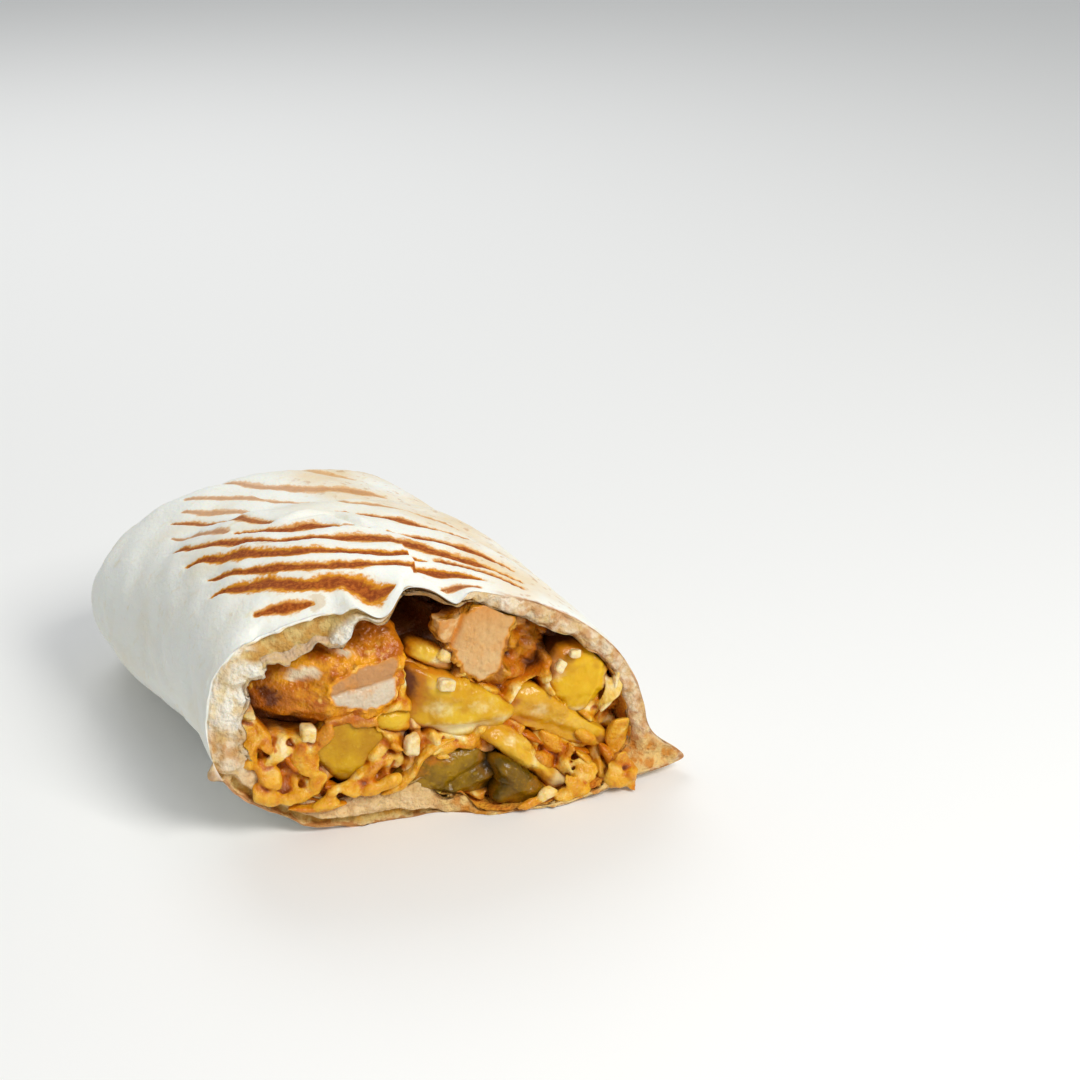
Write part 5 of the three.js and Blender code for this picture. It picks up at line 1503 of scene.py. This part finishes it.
def strewTree(name, kind):
    # scatters one kind of small piece over a surface and gives each a size, a turn and a tone
    tree = bpy.data.node_groups.new(name, "GeometryNodeTree")
    face = tree.interface
    face.new_socket("Bed", in_out="INPUT", socket_type="NodeSocketGeometry")
    sockets = {"Density": "Float", "Spacing": "Float", "Length": "Float", "Width": "Float", "Seed": "Int",
               "Finish": "Material"}
    for label, sort in sockets.items():
        face.new_socket(label, in_out="INPUT", socket_type="NodeSocket" + sort)
    face.new_socket("Pieces", in_out="OUTPUT", socket_type="NodeSocketGeometry")
    given = addNode(tree, "NodeGroupInput").outputs
    allowed = addNode(tree, "GeometryNodeInputNamedAttribute", {"data_type": "FLOAT", "Name": "allowed"})
    spread = addNode(tree, "GeometryNodeDistributePointsOnFaces", {"distribute_method": "POISSON"},
                     {"Mesh": given["Bed"], "Distance Min": given["Spacing"], "Density Max": given["Density"],
                      "Density Factor": allowed.outputs["Attribute"], "Seed": given["Seed"]})
    if kind == "bit":  # a chopped lump with soft corners
        scatter = addNode(tree, "FunctionNodeRandomValue",
                          {"data_type": "FLOAT_VECTOR", 0: (-0.5,) * 3, 1: (0.5,) * 3, "Seed": 5})
        corners = addNode(tree, "GeometryNodePoints", {"Count": 15}, {"Position": scatter.outputs[0]})
        hull = addNode(tree, "GeometryNodeConvexHull", {}, {0: corners.outputs[0]})
        soft = addNode(tree, "GeometryNodeSubdivisionSurface", {"Level": 2, "Edge Crease": 0.35},
                       {"Mesh": hull.outputs[0]})
        shape = soft.outputs["Mesh"]
        size = addNode(tree, "ShaderNodeCombineXYZ", {},
                       {"X": given["Length"], "Y": given["Width"], "Z": given["Width"]})
    else:  # a shred, bent to an arch
        line = addNode(tree, "GeometryNodeCurvePrimitiveLine", {"Start": (-0.5, 0, 0), "End": (0.5, 0, 0)})
        fine = addNode(tree, "GeometryNodeResampleCurve", {"Count": 14}, {"Curve": line.outputs[0]})
        share = addNode(tree, "GeometryNodeSplineParameter").outputs["Factor"]
        arch = addNode(tree, "ShaderNodeMath", {"operation": "PINGPONG", 1: 0.5}, {0: share})
        lift = addNode(tree, "ShaderNodeMath", {"operation": "MULTIPLY", 1: 0.28}, {0: arch.outputs[0]})
        offset = addNode(tree, "ShaderNodeCombineXYZ", {}, {"Y": lift.outputs[0]})
        bent = addNode(tree, "GeometryNodeSetPosition", {},
                       {"Geometry": fine.outputs[0], "Offset": offset.outputs[0]})
        slim = addNode(tree, "ShaderNodeMath", {"operation": "DIVIDE"},
                       {0: given["Width"], 1: given["Length"]})
        half = addNode(tree, "ShaderNodeMath", {"operation": "MULTIPLY", 1: 0.5}, {0: slim.outputs[0]})
        section = addNode(tree, "GeometryNodeCurvePrimitiveCircle", {"Resolution": 10},
                          {"Radius": half.outputs[0]})
        shape = addNode(tree, "GeometryNodeCurveToMesh", {"Fill Caps": True},
                        {"Curve": bent.outputs[0], "Profile Curve": section.outputs[0]}).outputs[0]
        size = addNode(tree, "ShaderNodeCombineXYZ", {}, {axis: given["Length"] for axis in "XYZ"})
    turn = addNode(tree, "FunctionNodeRandomValue",
                   {"data_type": "FLOAT_VECTOR", 0: (-0.5, -0.5, -3.14), 1: (0.5, 0.5, 3.14)},
                   {"Seed": given["Seed"]})
    grow = addNode(tree, "FunctionNodeRandomValue",
                   {"data_type": "FLOAT_VECTOR", 0: (0.75, 0.8, 0.8), 1: (1.3, 1.25, 1.25)},
                   {"Seed": given["Seed"]})
    facing = addNode(tree, "FunctionNodeAlignRotationToVector", {"axis": "Z"},
                     {"Vector": spread.outputs["Normal"]})
    euler = addNode(tree, "FunctionNodeEulerToRotation", {}, {0: turn.outputs[0]})
    spun = addNode(tree, "FunctionNodeRotateRotation", {"rotation_space": "LOCAL"},
                   {"Rotation": facing.outputs[0], "Rotate By": euler.outputs[0]})
    scale = addNode(tree, "ShaderNodeVectorMath", {"operation": "MULTIPLY"},
                    {0: size.outputs[0], 1: grow.outputs[0]})
    placed = addNode(tree, "GeometryNodeInstanceOnPoints", {},
                     {"Points": spread.outputs["Points"], "Instance": shape, "Rotation": spun.outputs[0],
                      "Scale": scale.outputs[0]})
    tone = addNode(tree, "FunctionNodeRandomValue", {"data_type": "FLOAT", 2: 0.1, 3: 0.75},
                   {"Seed": given["Seed"]})
    toned = addNode(tree, "GeometryNodeStoreNamedAttribute",
                    {"data_type": "FLOAT", "domain": "INSTANCE", "Name": "tone"},
                    {"Geometry": placed.outputs[0], "Value": tone.outputs[1]})
    real = addNode(tree, "GeometryNodeRealizeInstances", {}, {"Geometry": toned.outputs[0]})
    where = addNode(tree, "GeometryNodeInputPosition").outputs[0]
    wobble = addNode(tree, "ShaderNodeTexNoise", {"Scale": 1 / (2.2 * mm), "Detail": 2.0}, {"Vector": where})
    centred = addNode(tree, "ShaderNodeVectorMath", {"operation": "SUBTRACT", 1: (0.5, 0.5, 0.5)},
                      {0: wobble.outputs["Color"]})
    sized = addNode(tree, "ShaderNodeVectorMath", {"operation": "SCALE", "Scale": 1.6 * mm},
                    {0: centred.outputs[0]})
    uneven = addNode(tree, "GeometryNodeSetPosition", {},
                     {"Geometry": real.outputs[0], "Offset": sized.outputs[0]})
    smooth = addNode(tree, "GeometryNodeSetShadeSmooth", {}, {0: uneven.outputs[0]})
    finished = addNode(tree, "GeometryNodeSetMaterial", {},
                       {"Geometry": smooth.outputs[0], "Material": given["Finish"]})
    addNode(tree, "NodeGroupOutput", {}, {"Pieces": finished.outputs[0]})
    return tree


def makeBed():
    # the filling's face as a thick skin; pieces are strewn on it where no chunk covers it
    front, tone = frontGrid(heap["around"], heap["rings"])
    back = front[::-12] + np.array([0, 7.0, 0])
    x, z = front[..., 0], front[..., 2]
    allowed = np.ones(x.shape)
    for chunk in chunks.values():
        outlines = [points for _, points in chunk["rings"][:-1]] if "rings" in chunk else [chunk["points"]]
        for points in outlines:
            away, reach = acrossOutline(x, z, points)
            allowed[away < reach + 1.5] = 0
    hollow = oval(x, z, 1.5, 39, 5, 7)
    allowed[(hollow > 0.35) | (z > 20)] = 0
    marks = {"tone": np.concatenate([tone, np.full(back.shape[:2], 0.7)]),
             "allowed": np.concatenate([allowed, np.zeros(back.shape[:2])])}
    return gridMesh("bed", np.concatenate([front, back]), marks)


def strew(name, values, bed, material):
    tree = strewTree(name + "Tree", values["kind"])
    holder = bpy.data.objects.new(name + "Holder", bed.data.copy())
    bpy.context.scene.collection.objects.link(holder)
    modifier = holder.modifiers.new("strew", "NODES")
    modifier.node_group = tree
    wanted = {"Density": float(values["density"]) * 1000, "Spacing": values["spacing"] * mm,
              "Length": values["length"] * mm, "Width": values["width"] * mm,
              "Seed": values["seed"], "Finish": material}
    for item in tree.interface.items_tree:
        if item.item_type == "SOCKET" and item.in_out == "INPUT" and item.name in wanted:
            modifier[item.identifier] = wanted[item.name]
    graph = bpy.context.evaluated_depsgraph_get()
    mesh = bpy.data.meshes.new_from_object(holder.evaluated_get(graph))
    mesh.name = name
    thing = bpy.data.objects.new(name, mesh)
    bpy.context.scene.collection.objects.link(thing)
    bpy.data.objects.remove(holder)
    return thing


def makeFloor():
    data = bpy.data.meshes.new("floor")
    half = 4.0
    data.from_pydata([(-half, -half, 0), (half, -half, 0), (half, half, 0), (-half, half, 0)], [],
                     [(0, 1, 2, 3)])
    floor = bpy.data.objects.new("floor", data)
    bpy.context.scene.collection.objects.link(floor)
    data.materials.append(paleFloor())


makeCamera()
makeLights()
makeFloor()
bpy.context.scene.view_settings.view_transform = "Standard"
print("stage ready")

makeBread(bakedFlatbread())
print("flatbread made")

shredFinish = saucedShreds("sauced filling", 0.5)
food = [finishPiece(makeHeap(), ["filling_heap"], shredFinish)]

potatoes = {
    "potato": boiledPotato("boiled potato", ("#cf9a14", "#deb42a", "#ead068"), "#b46c06", 0.35),
    "potatoBright": boiledPotato("potato slice", ("#dba406", "#e2b40e", "#e8cc50"), "#b86e04", 0.45),
    "potatoPale": boiledPotato("mashed potato", ("#d59e1c", "#e2b83a", "#eccf80"), "#b9740a", 0.35),
    "potatoWet": boiledPotato("stewed potato", ("#d0960e", "#e0b024", "#eccf7c"), "#b06a06", 0.7),
}
finishes = {
    # the third crust colour of each chicken is a painted glint, and the dark crust colour is partly painted
    # shade
    "chickenLeft": grilledChicken("grilled chicken breast", "#bf8a55", "#d6c6ac",
                                  ("#bc6204", "#eca014", "#f8ca60"),
                                  "#6e2a05", "#efdcb8", 10),
    "chickenRight": grilledChicken("grilled chicken thigh", "#cf9c5c", "#dab47c",
                                   ("#a86206", "#cf8a16", "#e2b04c"),
                                   "#7a4008", "#e0b478", 35),
    "potato1": potatoes["potato"], "potato2": potatoes["potatoBright"], "potato3": potatoes["potatoWet"],
    "potato4": potatoes["potatoPale"], "potato5": potatoes["potato"], "potato6": potatoes["potatoPale"],
    "pickle1": pickledCucumber("pickled cucumber slice", ("#b98408", "#c99a10", "#d8b234", "#9c6c08")),
    "pickle2": pickledCucumber("pickled cucumber", ("#765604", "#9c7606", "#c49a16", "#423602"), 0.45),
    "pickle3": pickledCucumber("pickled cucumber skin", ("#705004", "#8e6806", "#b08612", "#362c02"), 0.45),
}
for number, (name, chunk) in enumerate(chunks.items()):
    food.append(makeChunk(name, chunk, finishes[name], 400 + 20 * number))
print("chunks made:", len(chunks))

softBits, loosePieces = makePlacedBits(shredFinish, saucedShreds("cucumber seeds"))
bed = makeBed()
strewnPieces = [strew(name, values, bed, shredFinish) for name, values in strewn.items()]
food += loosePieces + [fuse("saucedFilling", [bed, softBits, *strewnPieces], shredFinish)]
markHollows(food)
print("small pieces made")
